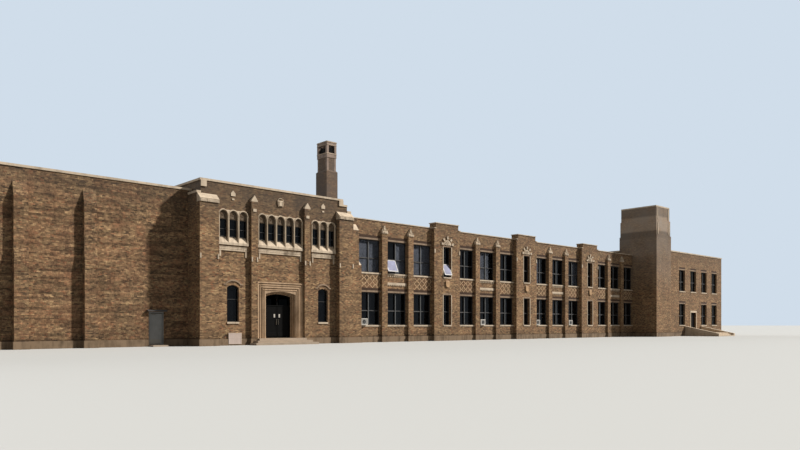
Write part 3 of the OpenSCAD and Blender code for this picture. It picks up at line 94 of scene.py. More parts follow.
class Layout:
    """Where the storeys, windows and arches are, read from the CAD nodes."""

    def __init__(self):
        wall_low, wall_high = box("wing_wall")
        bay_low, bay_high = box("narrow_bays")
        pier_low = box("wing_piers")[0]
        sills_low, sills_high = box("arcade_sills")
        portal_low, portal_high = box("portal_surround")
        self.wing_front = wall_low.y
        self.wing_back = wall_low.y + WING_DEPTH
        self.pier_front = pier_low.y
        self.bay_front = bay_low.y
        self.group_w = wall_high.x - bay_high.x
        self.first_x = bay_low.x - self.group_w
        self.period = (bay_high.x - self.first_x) / (GROUPS - 1)
        self.window_w = pier_low.x - self.first_x
        self.pier_w = (self.group_w - 3 * self.window_w) / 2
        self.light_w = (self.window_w - 2 * FRAME_W - MULLION_W) / 2
        self.sills = (box("window_frames")[0].z, box("window_sills")[1].z)
        self.upper_sill_z = self.sills[1]
        self.window_h = box("window_heads")[1].z - self.upper_sill_z - HEAD_STONE
        self.head_rise = self.window_h + HEAD_STONE
        self.split = self.window_h * TRANSOM_SHARE
        self.spandrel_low = self.sills[0] + self.head_rise + UPRIGHT_H
        self.spandrel_high = self.upper_sill_z - SILL_STONE
        self.block_x = (portal_low.x + portal_high.x) / 2
        self.block_front = box("block_wall_left")[0].y
        self.side_dx = (sills_high.x - sills_low.x) / 2 - 1.5 * ARCH_PITCH
        self.frame_front = self.wing_front + FRAME_SET
        self.slit_front = self.bay_front + SLIT_SET
        self.rear_glass = box("window_glass")[1].y
        self.pavilion_left, self.pavilion_front = box("pavilion_front_wall")[0][:2]

    def window(self, group, place):
        """The left edge of one classroom window."""
        return self.first_x + group * self.period + place * (self.window_w + self.pier_w)

    def windows(self):
        """The left edge of every classroom window along the front."""
        return [self.window(group, place) for group in range(GROUPS) for place in range(3)]

    def front_places(self, y, rise=0.0):
        """A place at every classroom window, some way over its left foot."""
        return [(x, y, z + rise) for x in self.windows() for z in self.sills]

    def rear_places(self, y, rise=0.0):
        """The like places, turned, at every rear window."""
        edges = self.windows() + [self.block_x + i * self.side_dx - self.window_w / 2 for i in (-1, 0, 1)]
        return [Matrix.Translation((x + self.window_w, y, z + rise)) @ HALF_TURN
                for x in edges for z in self.sills]

    def pavilion_places(self, y, rise=0.0):
        """The like places at every pavilion window, which leave out the door's bay below."""
        first = self.pavilion_left + PAVILION_FIRST - PAVILION_WINDOW_W / 2
        return [(first + bay * PAVILION_PITCH, y, z + rise) for z in self.sills for bay in range(4)
                if z == self.upper_sill_z or bay != PAVILION_DOOR_BAY]

    def slits(self):
        """The centre line of every slit window."""
        first = self.first_x + (self.group_w + self.period) / 2
        return [first + bay * self.period for bay in range(GROUPS - 1)]

    def arch_groups(self):
        """The centre line and the count of each group of arched windows."""
        return [(self.block_x + dx, count) for dx, count in ((-self.side_dx, 3), (0.0, 5), (self.side_dx, 3))]

    def arches(self):
        """The centre line of every arched window."""
        return [centre + (i - (count - 1) / 2) * ARCH_PITCH
                for centre, count in self.arch_groups() for i in range(count)]


# Window openings and their stones
GROUPS = 4
HEAD_STONE = 0.014
SILL_STONE = 0.012
STONE_LIP = 0.005
WING_DEPTH = 1.640
SLIT_W = 0.100
PAVILION_FIRST = 0.370
PAVILION_PITCH = 0.310
PAVILION_WINDOW_W = 0.160
PAVILION_DOOR_BAY = 1

# Edges as (rim, rise), and how many sides the round parts have
WORN_EDGE = (0.0004, 0.0003)
SLIM_EDGE = (0.0006, 0.0004)
FLAT_EDGE = (0.0008, 0.0002)
PLATE_EDGE = (0.0008, 0.0003)
CUT_EDGE = (0.0008, 0.0006)
STONE_EDGE = (0.0008, 0.0008)
CARVED_EDGE = (0.0010, 0.0008)
BAR_EDGE = (0.0012, 0.0008)
THIN_SIDES = 8
ROLL_SIDES = 12
BOSS_SIDES = 14

# Frames, sashes and blinds
FRAME_SET = 0.021
SLIT_SET = 0.027
FRAME_W = 0.008
FRAME_PROUD = 0.0016
MULLION_W = 0.009
TRANSOM_H = MULLION_W * 0.7
FIN_PROUD = 0.005
TRANSOM_SHARE = 0.42
TRANSOM_PROUD = 0.0030
SASH_LAP = 0.003
SASH_T = 0.003
SASH_BAR = 0.007
SASH_TILT = math.radians(24)
PANE_LAP = 0.001
PANE_EDGE = (0.0006, 0.0002)
# Stays: radius, place beside the sash's edge, and the shares of its height up and down to their ends
STAY_R = 0.0007
STAY_X = 0.003
STAY_UP = 0.2
STAY_DOWN = 0.55
SLAT_W = 0.0085
SLAT_PITCH = 0.0080
SLAT_SET = 0.0034
SLAT_GAP = 0.0005
SLAT_TURN = math.radians(20)
# Group, place, side of the mullion and share drawn of each blind
BLINDS = ((0, 0, 0, 1.0), (0, 0, 1, 1.0), (0, 1, 1, 1.0), (0, 2, 0, 1.0), (0, 2, 1, 1.0),
          (1, 1, 0, 1.0), (1, 1, 1, 0.5), (2, 0, 0, 1.0), (2, 2, 1, 1.0), (3, 1, 0, 0.6))

# Air conditioners: group and place of each window, then their size
COOLERS = ((0, 0), (1, 1), (2, 0), (2, 2))
COOLER_X = 0.012
COOLER_W = 0.065
COOLER_H = 0.052
COOLER_RIM = 0.005
GRILLE_RADII = (0.0165, 0.0120, 0.0075, 0.0030)
GRILLE_WIRE = 0.00045
GRILLE_SPOKES = 8

# Brickwork that is modelled
BUTTRESS_DEPTH = 0.040
COURSE = 0.0075
BRICK_JOINT = 0.001
UPRIGHT_PROUD = 0.0006
UPRIGHT_PITCH = 0.0075
UPRIGHT_H = 0.020
HEADER_W = 0.0095
HEADER_PROUD = 0.0005
DIAMONDS = 4
SPANDREL_BLOCKS = 9
SPANDREL_MARGIN = 0.010

# Heights on the tower at full size, and how light its brick is there
TOWER_TIERS = ((0.0, 0.72), (11.6, 0.62), (11.8, 0.52), (12.4, 0.52), (12.6, 1.0), (14.1, 1.0),
               (14.3, 0.62), (16.0, 0.7))

# Arched windows and the bands below them
ARCH_PITCH = 0.075
ARCH_RING_R = 0.0335
# Distance before the wall, extra radius and thickness of each roll of an arch
ARCH_ROLLS = ((0.0095, 0.0, 0.0013), (0.0062, 0.0038, 0.0022))
TYMPANUM_SET = 0.004
# How far in front of the block's face the painted shade in the arches' recesses starts
RECESS_SHADE_SET = 0.002
BAND_RISE = 0.038
BAND_H = 0.030
BAND_MARGIN = 0.008
FLOWERS_PER_ARCH = 5
FILLET_H = 0.0025

# Doorway
DOOR_RISE = 0.020
DOOR_FRONT_HALF = 0.125
ORDERS = 3
ORDER_STEP = 0.005
ORDER_DEPTH = 0.0145
ROLL_SET = 0.0035
ROLL_FOOT = 0.014
ROLL_LAP = 0.002
KNOP_SHARE = 1.15
# Half the width, height and radius of each roll on the doorway's front
FRONT_ROLLS = ((0.134, 0.384, 0.0030), (0.150, 0.400, 0.0044), (0.168, 0.416, 0.0030),
               (0.187, 0.432, 0.0040))

# Crest, blank panel and caps
CREST_DROP = 0.087
PANEL_DX = 0.012
PANEL_LIP = 0.002
PANEL_HALF = 0.048
PANEL_LOW = 0.010
PANEL_HIGH = 0.083
CORNER_W = 0.135
CORNER_CAP_Z = 0.940
# Start along a corner cap and width of each of its faces
CORNER_FACES = ((0.004, 0.040), (0.052, 0.079))
PIER_CAP_Z = 0.877
# Share of the pier's width, height and radius of each knob on a pier cap
CAP_KNOBS = ((0.13, 0.024, 0.0095), (0.87, 0.024, 0.0095), (0.5, 0.040, 0.0150))
KNOB_L = 0.024
VOUSSOIR_TURNS = (-80, -42, 0, 42, 80)
SHIELD_W = 0.052
SHIELD_H = 0.054
SHIELD_RISE = 0.004
# Drop as a share of half the height, and width as a share of the part above, of each taper
SHIELD_TAPERS = ((0.5, 0.82), (0.3, 0.45))

# Doors and chimney; the spans on a leaf are heights over its foot
PIN_L = 0.006
LIGHT_EDGE = 0.012
LIGHT_W = 0.014
LIGHT_H = 0.026
LIGHT_Z = 0.136
LIGHT_BEAD = 0.0015
PULL_PROUD = 0.0060
PULL_SPAN = (0.085, 0.125)
PULL_POSTS = (0.090, 0.120)
LEAF_FIELDS = ((0.038, 0.122), (0.172, 0.206))
LEVER_Z = 0.098
LEVER_R = 0.0009
LEVER_PROUD = 0.0044
HALL_MARGIN = 0.012
CLOSER_L = 0.024
PLATE_T = 0.0006
LANTERN_HEAD = 0.045
LANTERN_OPEN = 0.077
LANTERN_CORNER = 0.026
LOUVRES = 10
LOUVRE_TILT = math.radians(38)

layout = Layout()


# Sizes and colours that can be changed

def swatch(name, description, colour):
    """A colour in a property group."""
    return bpy.props.FloatVectorProperty(
        name=name, description=description, default=colour, size=4, subtype="COLOR")


def number(name, description, value, **settings):
    """A number in a property group."""
    return bpy.props.FloatProperty(name=name, description=description, default=value, **settings)


class SchoolBrickwork(bpy.types.PropertyGroup):
    """Sizes and colours of the face brick."""
    length: number("Brick length", "Length of a brick with its joint, at full size", 0.203, unit="LENGTH")
    course: number("Course height", "Height of a course with its joint, at full size", 0.075, unit="LENGTH")
    joint: number("Joint", "Half the width of a mortar joint, at full size", 0.005, unit="LENGTH")
    body: swatch("Body colour", "Colour of most bricks", paint(132, 104, 75))
    dark: swatch("Dark brick", "Colour of the hard burnt bricks", paint(84, 64, 47))
    light: swatch("Light brick", "Colour of the palest bricks", paint(168, 138, 100))
    red: swatch("Red brick", "Colour of the reddish bricks", paint(136, 92, 64))
    mortar: swatch("Mortar", "Colour of the mortar", paint(122, 106, 86))


class SchoolStonework(bpy.types.PropertyGroup):
    """Colours of the cut stone and the concrete."""
    clean: swatch("Clean stone", "Colour of washed limestone", paint(206, 187, 162))
    stained: swatch("Stained stone", "Colour of soot and lichen on limestone", paint(118, 101, 82))
    doorway: swatch("Doorway stone", "Colour of the darker stone round the doors", paint(178, 150, 120))
    concrete: swatch("Concrete", "Colour of the steps", paint(172, 154, 134))
    block: number("Stone length", "Length of a facing stone, at full size", 1.2, unit="LENGTH")


class SchoolGlazing(bpy.types.PropertyGroup):
    """Colours of the glass, the metalwork and the blinds."""
    glass: swatch("Glass", "Tint of the window glass", paint(24, 26, 30))
    bronze: swatch("Door paint", "Colour of the main doors and their frame", paint(15, 14, 13))
    frame_grey: swatch("Frame paint", "Colour of the window frames", paint(82, 82, 81))
    cloth: swatch("Blind cloth", "Colour of the window blinds", paint(140, 146, 160))
    grey_paint: swatch("Grey paint", "Colour of the hall's side door", paint(134, 132, 127))
    cream_paint: swatch("Cream paint", "Colour of the air conditioners", paint(206, 200, 190))


class SchoolStudio(bpy.types.PropertyGroup):
    """Camera, lamps and floor."""
    eye: bpy.props.FloatVectorProperty(
        name="Camera place", description="Place of the camera",
        default=(-4.7165, -4.9575, 0.138), size=3, subtype="XYZ", unit="LENGTH")
    heading: number("Heading", "Turn of the camera from the inward direction",
                    math.radians(-42.6), subtype="ANGLE")
    lens: number("Lens", "Focal length in millimetres on a 36 mm wide frame", 31.05)
    rise: number("Lens rise", "Upward shift of the picture, as a share of its width", 0.125)
    sun_strength: number("Key lamp", "Strength of the key lamp", 5.4)
    sun_size: number("Key size", "Angle that the key lamp fills, which softens its shadows",
                     math.radians(3.0), subtype="ANGLE")
    fill_strength: number("Rear fill", "Strength of the soft lamp behind the model", 1.3)
    fill_size: number("Rear fill size", "Angle that the rear lamp fills", math.radians(40.0), subtype="ANGLE")
    ambient: number("Ambient", "Strength of the even light from all round", 0.24)
    backdrop: swatch("Backdrop", "Colour behind the model", paint(208, 221, 234))
    floor: swatch("Floor", "Colour of the studio floor", (0.52, 0.52, 0.50, 1.0))


# Material building

class Nodes:
    """Adds and links the nodes of one tree."""

    def __init__(self, tree):
        self.tree = tree

    def feed(self, socket, value):
        """Links a socket to another, or sets its value."""
        if isinstance(value, bpy.types.NodeSocket):
            self.tree.links.new(value, socket)
        else:
            socket.default_value = value

    def add(self, kind, inputs=None, **settings):
        """Adds a node with settings, and inputs by name or number."""
        node = self.tree.nodes.new(kind)
        for key, value in settings.items():
            setattr(node, key, value)
        for key, value in (inputs or {}).items():
            self.feed(node.inputs[key], value)
        return node

    def math(self, operation, first, second=0.0):
        """One arithmetic step."""
        return self.add("ShaderNodeMath", {0: first, 1: second}, operation=operation).outputs[0]

    def product(self, first, *others):
        """Numbers multiplied together."""
        for other in others:
            first = self.math("MULTIPLY", first, other)
        return first

    def seen_directly(self):
        """1 for rays that show the stage, and 0 for light that bounces off it."""
        path = self.add("ShaderNodeLightPath").outputs
        shown = self.math("MAXIMUM", path["Is Camera Ray"], path["Is Glossy Ray"])
        return self.math("MAXIMUM", shown, path["Is Transmission Ray"])


class Recipe(Nodes):
    """The nodes of one material, laid out in full-size metres."""

    def __init__(self, name, roughness, specular):
        self.material = bpy.data.materials.new(name)
        self.material.use_nodes = True
        super().__init__(self.material.node_tree)
        self.shader = self.tree.nodes["Principled BSDF"]
        self.shader.inputs["Roughness"].default_value = roughness
        self.shader.inputs["Specular IOR Level"].default_value = specular

    def mix(self, factor, first, second, blend="MIX"):
        """Mixes two colours."""
        inputs = {0: factor, 6: first, 7: second}
        return self.add("ShaderNodeMix", inputs, data_type="RGBA", blend_type=blend).outputs[2]

    def mixed_vector(self, factor, first, second):
        """Mixes two vectors."""
        return self.add("ShaderNodeMix", {0: factor, 4: first, 5: second}, data_type="VECTOR").outputs[1]

    def dimmed(self, tone, value):
        """A colour made darker or lighter by a number."""
        return self.mix(1.0, tone, self.vector(value, value, value), blend="MULTIPLY")

    def scaled(self, vector, scale):
        """A vector with each part multiplied."""
        return self.add("ShaderNodeVectorMath", {0: vector, 1: scale}, operation="MULTIPLY").outputs[0]

    def place(self):
        """Position on the building in full-size metres."""
        return self.scaled(self.add("ShaderNodeTexCoord").outputs["Object"], (MODEL_SCALE,) * 3)

    def parts(self, vector):
        """The three parts of a vector."""
        return self.add("ShaderNodeSeparateXYZ", {"Vector": vector}).outputs

    def vector(self, x, y, z=0.0):
        """A vector from three parts."""
        return self.add("ShaderNodeCombineXYZ", {"X": x, "Y": y, "Z": z}).outputs[0]

    def on_face(self, place):
        """Metres along and up a flat face, whichever way it points."""
        x, y, z = self.parts(place)
        normal = self.parts(self.add("ShaderNodeTexCoord").outputs["Normal"])
        sideways = self.math("GREATER_THAN", self.math("ABSOLUTE", normal[0]), 0.7)
        level = self.math("GREATER_THAN", self.math("ABSOLUTE", normal[2]), 0.8)
        upright = self.mixed_vector(sideways, self.vector(x, z), self.vector(y, z))
        return self.mixed_vector(level, upright, self.vector(x, y))

    def noise(self, place, scale, detail=3.0, roughness=0.55, stretch=(1.0, 1.0, 1.0)):
        """Soft noise from 0 to 1."""
        settings = {"Vector": self.scaled(place, stretch), "Scale": scale, "Detail": detail,
                    "Roughness": roughness}
        return self.add("ShaderNodeTexNoise", settings).outputs[0]

    def bricks(self, face, width, height, joint, offset=0.5):
        """A bond of blocks: (a random grey for each block, 1 in the joints)."""
        node = self.add("ShaderNodeTexBrick", {
            "Vector": face, "Color1": grey(0.0), "Color2": grey(1.0), "Mortar": grey(0.5),
            "Scale": 1.0, "Mortar Size": joint, "Mortar Smooth": 0.15, "Bias": 0.0,
            "Brick Width": width, "Row Height": height}, offset=offset)
        return node.outputs["Color"], node.outputs["Fac"]

    def ramp(self, factor, *stops):
        """A colour ramp through (place, colour) stops; a number stands for a grey."""
        node = self.add("ShaderNodeValToRGB", {"Fac": factor})
        elements = node.color_ramp.elements
        for place, _ in stops[1:-1]:
            elements.new(place)
        for element, (place, tone) in zip(elements, stops):
            element.position = place
            element.color = grey(tone) if isinstance(tone, (int, float)) else tone
        return node.outputs["Color"]

    def span(self, value, low, high, from_low=0.0, from_high=1.0):
        """A number moved from one range to another, and held at its ends."""
        settings = {"Value": value, "From Min": from_low, "From Max": from_high,
                    "To Min": low, "To Max": high}
        return self.add("ShaderNodeMapRange", settings).outputs[0]

    def bump(self, height, distance, strength):
        """Raised detail; distance is at the model's scale."""
        inputs = {"Height": height, "Distance": distance, "Strength": strength}
        return self.add("ShaderNodeBump", inputs).outputs[0]

    def finish(self, tone, normal=None, roughness=None):
        """Joins the colour, bump and roughness to the shader."""
        sockets = {"Base Color": tone, "Normal": normal, "Roughness": roughness}
        for name, value in sockets.items():
            if value is not None:
                self.feed(self.shader.inputs[name], value)
        return self.material


def brick_material(name, shade=1.0, soot=0.0, redness=0.25, soot_and_haze_from=8.4, soot_and_haze_to=9.8, mottle=1.0,
                   soot_and_haze_tone=(74, 64, 54), tiers=None):
    """Face brick with mixed tones, weathering and sunk joints.

    Each of the tiers is a height in full-size metres and how light the wall is there. A veil that rises with
    height is soot on most walls, and painted haze and light on the tower.
    """
    look = bpy.context.scene.school_brickwork
    r = Recipe(name, 0.88, 0.25)
    place = r.place()
    face = r.on_face(place)
    z = r.parts(place)[2]
    pick, joints = r.bricks(face, look.length, look.course, look.joint)
    tone = r.ramp(pick, (0.0, look.dark[:]), (0.30, look.body[:]), (0.55, look.body[:]),
                  (0.80, look.light[:]), (1.0, look.red[:]))
    reds = r.span(r.noise(place, 0.9, 5.0, 0.7), 0.0, redness, 0.45, 0.7)
    tone = r.mix(reds, tone, look.red[:])
    tone = r.mix(joints, tone, look.mortar[:])
    patches = r.noise(place, 0.6, 4.0)
    cloud = r.span(patches, 0.82, 1.14, 0.3, 0.7)
    batches = r.bricks(face, 1.63, 2 * look.course, 0.0, 0.37)[0]
    batch = r.span(batches, 1.0 - 0.16 * mottle, 1.0 + 0.16 * mottle)
    streak = r.span(r.noise(place, 1.4, 3.0, 0.6, (1.0, 1.0, 0.12)), 0.88, 1.08, 0.3, 0.7)
    clots = r.span(r.noise(place, 7.0, 5.0, 0.8), 1.0 - 0.3 * mottle, 1.0 + 0.3 * mottle, 0.3, 0.7)
    grime = r.span(z, 0.80, 1.0, 0.4, 1.2)
    over_plinth = r.product(r.math("GREATER_THAN", z, 0.45), r.math("LESS_THAN", z, 0.53))
    tone = r.dimmed(tone, r.product(cloud, batch, streak, clots, grime, shade, r.span(over_plinth, 1.0, 0.6)))
    # A veil that rises with height: soot on most walls, and on the tower a pale grey that is painted haze and
    # light
    high = r.product(r.span(z, 0.0, soot, soot_and_haze_from, soot_and_haze_to), r.span(patches, 0.6, 1.3, 0.3, 0.7))
    tone = r.mix(high, tone, paint(*soot_and_haze_tone))
    if tiers:
        top = tiers[-1][0]
        tier = r.ramp(r.math("DIVIDE", z, top), *((height / top, share) for height, share in tiers))
        tone = r.mix(1.0, tone, tier, blend="MULTIPLY")
    grain = r.noise(place, 60.0, 4.0, 0.7)
    height = r.math("SUBTRACT", r.product(grain, 0.25), joints)
    return r.finish(tone, r.bump(height, 0.0006, 0.7))


def fired_material(name, tone, spread=0.22):
    """Single bricks, each a little lighter or darker than the next."""
    r = Recipe(name, 0.86, 0.25)
    place = r.place()
    value = r.span(r.noise(place, 9.0, 1.0), 1.0 - spread, 1.0 + spread, 0.35, 0.65)
    grain = r.noise(place, 60.0, 4.0, 0.7)
    return r.finish(r.dimmed(tone, value), r.bump(grain, 0.0003, 0.5))


def stone_material(name, clean, stained, wear=0.5, course=0.45, recess_shade_plane=None):
    """Cut limestone with joints, soot streaks and a fine grain.

    Behind the plane at the Y that comes last, in metres at the model's scale, the stone is darkened towards a
    brown: painted shade in the recesses.
    """
    r = Recipe(name, 0.82, 0.3)
    place = r.place()
    pick, joints = r.bricks(r.on_face(place), bpy.context.scene.school_stonework.block, course, 0.004)
    broad = r.noise(place, 1.1, 5.0, 0.62)
    streaks = r.noise(place, 3.2, 4.0, 0.6, (1.0, 1.0, 0.18))
    tone = r.mix(r.span(r.math("ADD", broad, streaks), 0.0, wear, 0.92, 1.3), clean, stained)
    # Painted shade: the stone darkens with its depth behind the plane
    if recess_shade_plane is not None:
        plane = recess_shade_plane * MODEL_SCALE
        behind = r.span(r.parts(place)[1], 0.0, 0.85, plane, plane + 0.04)
        tone = r.mix(behind, tone, paint(84, 68, 51))
    tone = r.dimmed(tone, r.product(r.span(pick, 0.93, 1.05), r.span(joints, 1.0, 0.62)))
    grain = r.noise(place, 45.0, 5.0, 0.7)
    height = r.math("SUBTRACT", r.product(grain, 0.3), joints)
    return r.finish(tone, r.bump(height, 0.0005, 0.5), r.span(broad, 0.74, 0.9))


def concrete_material(name, tone):
    """Cast concrete with pits and a worn, uneven colour."""
    r = Recipe(name, 0.85, 0.3)
    place = r.place()
    broad = r.noise(place, 1.6, 6.0, 0.6)
    fine = r.noise(place, 38.0, 4.0, 0.7)
    value = r.product(r.span(broad, 0.8, 1.1, 0.3, 0.7), r.span(fine, 0.93, 1.05))
    return r.finish(r.dimmed(tone, value), r.bump(fine, 0.0004, 0.4))


def gravel_material(name):
    """Gravel on a flat roof."""
    r = Recipe(name, 0.95, 0.2)
    place = r.place()
    stones = r.add("ShaderNodeTexVoronoi", {"Vector": place, "Scale": 28.0})
    pick = r.parts(stones.outputs["Color"])[0]
    tone = r.ramp(pick, (0.0, paint(74, 70, 64)), (0.5, paint(112, 106, 97)), (1.0, paint(150, 143, 132)))
    broad = r.span(r.noise(place, 0.4, 5.0), 0.75, 1.12, 0.3, 0.7)
    height = r.math("SUBTRACT", 1.0, stones.outputs["Distance"])
    return r.finish(r.dimmed(tone, broad), r.bump(height, 0.0012, 0.6))


def paint_material(name, tone, roughness=0.45, wear=0.12, specular=0.5):
    """Painted metal, a little chalky and marked."""
    r = Recipe(name, roughness, specular)
    place = r.place()
    broad = r.noise(place, 2.5, 5.0, 0.6)
    marks = r.noise(place, 22.0, 5.0, 0.7, (1.0, 1.0, 0.3))
    value = r.product(r.span(broad, 1.0 - wear, 1.0 + wear, 0.3, 0.7),
                      r.span(marks, 1.0 - wear / 2, 1.0 + wear / 2, 0.3, 0.7))
    return r.finish(r.dimmed(tone, value), r.bump(marks, 0.00015, 0.25),
                    r.span(broad, roughness - 0.08, roughness + 0.1))


def glass_material(name, tone, alpha, roughness=0.04, specular=0.12):
    """Old glazing, slightly wavy, with dust at random."""
    r = Recipe(name, roughness, specular)
    r.shader.inputs["Alpha"].default_value = alpha
    place = r.place()
    dust = r.span(r.noise(place, 1.3, 5.0, 0.6), 0.7, 1.5, 0.35, 0.65)
    waves = r.noise(place, 1.7, 2.0, 0.5)
    return r.finish(r.dimmed(tone, dust), r.bump(waves, 0.002, 0.35))


# Operators

class SCHOOL_OT_finishes(bpy.types.Operator):
    """Makes every material and puts it on the CAD nodes"""
    bl_idname = "school.finishes"
    bl_label = "Finishes"

    def execute(self, context):
        self.make_masonry(context.scene.school_stonework)
        self.make_metal_and_glass(context.scene.school_glazing)
        for name, node in frame["nodes"].items():
            dressed(node, self.finish_of(name))
        return {"FINISHED"}

    def make_masonry(self, stone):
        """Bricks, stones, concrete and gravel."""
        clean, stained = stone.clean[:], stone.stained[:]
        bricks = {
            "wall_brick": {"soot": 0.3},
            "block_brick": {"soot": 0.7, "redness": 0.2, "soot_and_haze_from": 7.6, "soot_and_haze_to": 10.2, "mottle": 1.3},
            "hall_brick": {"shade": 0.88, "soot": 0.35, "redness": 0.6, "mottle": 2.4},
            # Tower: the lighter brick and the pale grey veil high up are painted haze and light, which
            # brighten its shaded faces
            "tower_brick": {"shade": 1.5, "soot": 0.8, "soot_and_haze_from": 5.0, "soot_and_haze_to": 12.0,
                            "soot_and_haze_tone": (158, 143, 128), "tiers": TOWER_TIERS},
            "chimney_brick": {"soot": 0.9, "soot_and_haze_from": 6.0, "soot_and_haze_to": 15.0, "soot_and_haze_tone": (101, 89, 80)},
            "panel_brick": {"shade": 0.72, "redness": 0.85},
        }
        carved = {"wear": 0.85, "course": 0.6}
        # The arches' stone gets painted shade behind the wall's face
        arch = {"wear": 0.7, "course": 0.6, "recess_shade_plane": layout.block_front - RECESS_SHADE_SET}
        stones = {
            "clean_stone": (clean, stained, {}),
            "carved_stone": (clean, stained, carved),
            "arch_stone": (paint(196, 177, 152), stained, arch),
            "fan_stone": (paint(106, 87, 67), paint(66, 53, 40), {}),
            "gold_stone": (paint(194, 158, 118), paint(140, 104, 72), {}),
            "dull_stone": (paint(152, 129, 106), paint(104, 86, 68), {"wear": 0.8}),
            "plinth_stone": (paint(134, 112, 88), paint(84, 68, 50), {"wear": 1.0}),
            "sooty_stone": (paint(156, 136, 122), paint(96, 80, 70), {"wear": 0.8, "course": 0.6}),
            "doorway_stone": (stone.doorway[:], paint(112, 88, 62), {"wear": 0.8}),
            "panel_stone": (paint(196, 178, 166), paint(166, 146, 130), {}),
        }
        for name, look in bricks.items():
            brick_material(name, **look)
        for name, (washed, soiled, look) in stones.items():
            stone_material(name, washed, soiled, **look)
        fired_material("dark_brick", paint(74, 55, 42))
        fired_material("pale_brick", paint(206, 174, 136))
        concrete_material("cast_concrete", stone.concrete[:])
        gravel_material("roof_gravel")

    def make_metal_and_glass(self, glazing):
        """Paints and blinds as (colour, roughness, wear, specular), and glass as (colour, alpha, ...)."""
        paints = {
            "bronze_paint": (glazing.bronze[:], 0.7, 0.12, 0.05),
            # A darker copy of the frame grey: painted shade of the reveals and heads on the frames' rims and
            # right transoms
            "shaded_frame_grey": (paint(46, 43, 41), 0.6, 0.12, 0.3),
            "faint_frame": (paint(74, 70, 67), 0.6, 0.12, 0.3),
            "frame_paint": (glazing.frame_grey[:], 0.5, 0.18),
            "sash_paint": (paint(158, 152, 146), 0.5, 0.1),
            "grey_paint": (glazing.grey_paint[:], 0.5),
            "cream_paint": (glazing.cream_paint[:], 0.5, 0.08),
            "door_metal": (paint(120, 112, 98), 0.4, 0.1),
            "kick_metal": (paint(134, 128, 118), 0.35, 0.15),
            # Lead grey darkened to near black: the louvres' own paint, and painted shade inside the lantern's
            # openings
            "lead_paint_and_shade": (paint(38, 35, 33), 0.7, 0.2, 0.1),
            "cooler_face": (paint(150, 146, 138), 0.5, 0.1),
            "cooler_grille": (paint(96, 94, 92), 0.4, 0.1),
            # Painted shade: near-black paint for the hollow behind the coolers' grilles and in their side
            # slots
            "painted_recess_shade": (paint(22, 21, 20), 0.7, 0.1),
            "blind_cloth": (glazing.cloth[:], 0.8, 0.3),
        }
        panes = {
            # Nearly opaque near-black glass: the glazing, with painted shade of the dark rooms behind it
            "glass_and_room_shade": (paint(10, 11, 13), 0.95),
            "clear_glass": (glazing.glass[:], 0.22),
            # Painted reflection: the open sashes' panes are opaque, in the blue-grey of the sky they mirror
            "sash_painted_sky": (paint(104, 106, 136), 1.0, 0.45, 0.1),
            "pale_glass": (paint(176, 170, 160), 1.0, 0.3),
        }
        for name, look in paints.items():
            paint_material(name, *look)
        for name, look in panes.items():
            glass_material(name, *look)

    def finish_of(self, name):
        """The material of one CAD node."""
        slots = {part["node"]: part["material_slot"] for part in frame["record"]["subparts"]}
        special = {"window_frames": "shaded_frame_grey", "window_heads": "dull_stone", "plinths": "plinth_stone",
                   "chimney_lantern": "sooty_stone", "portal_surround": "doorway_stone",
                   "arched_windows": "arch_stone", "arcade_sills": "carved_stone",
                   "hall_door_canopy": "faint_frame"}
        bricks = {"hall": "hall_brick", "block": "block_brick", "party": "block_brick",
                  "pilasters": "block_brick", "corner": "block_brick", "tower": "tower_brick",
                  "chimney": "chimney_brick"}
        others = {"bronze_metal": "bronze_paint", "grey_metal": "grey_paint", "cream_metal": "cream_paint",
                  "window_glass": "glass_and_room_shade", "limestone": "clean_stone", "concrete": "cast_concrete",
                  "roofing": "roof_gravel"}
        if name in special:
            return special[name]
        if slots[name] == "brick":
            return next((look for word, look in bricks.items() if name.startswith(word)), "wall_brick")
        return others[slots[name]]


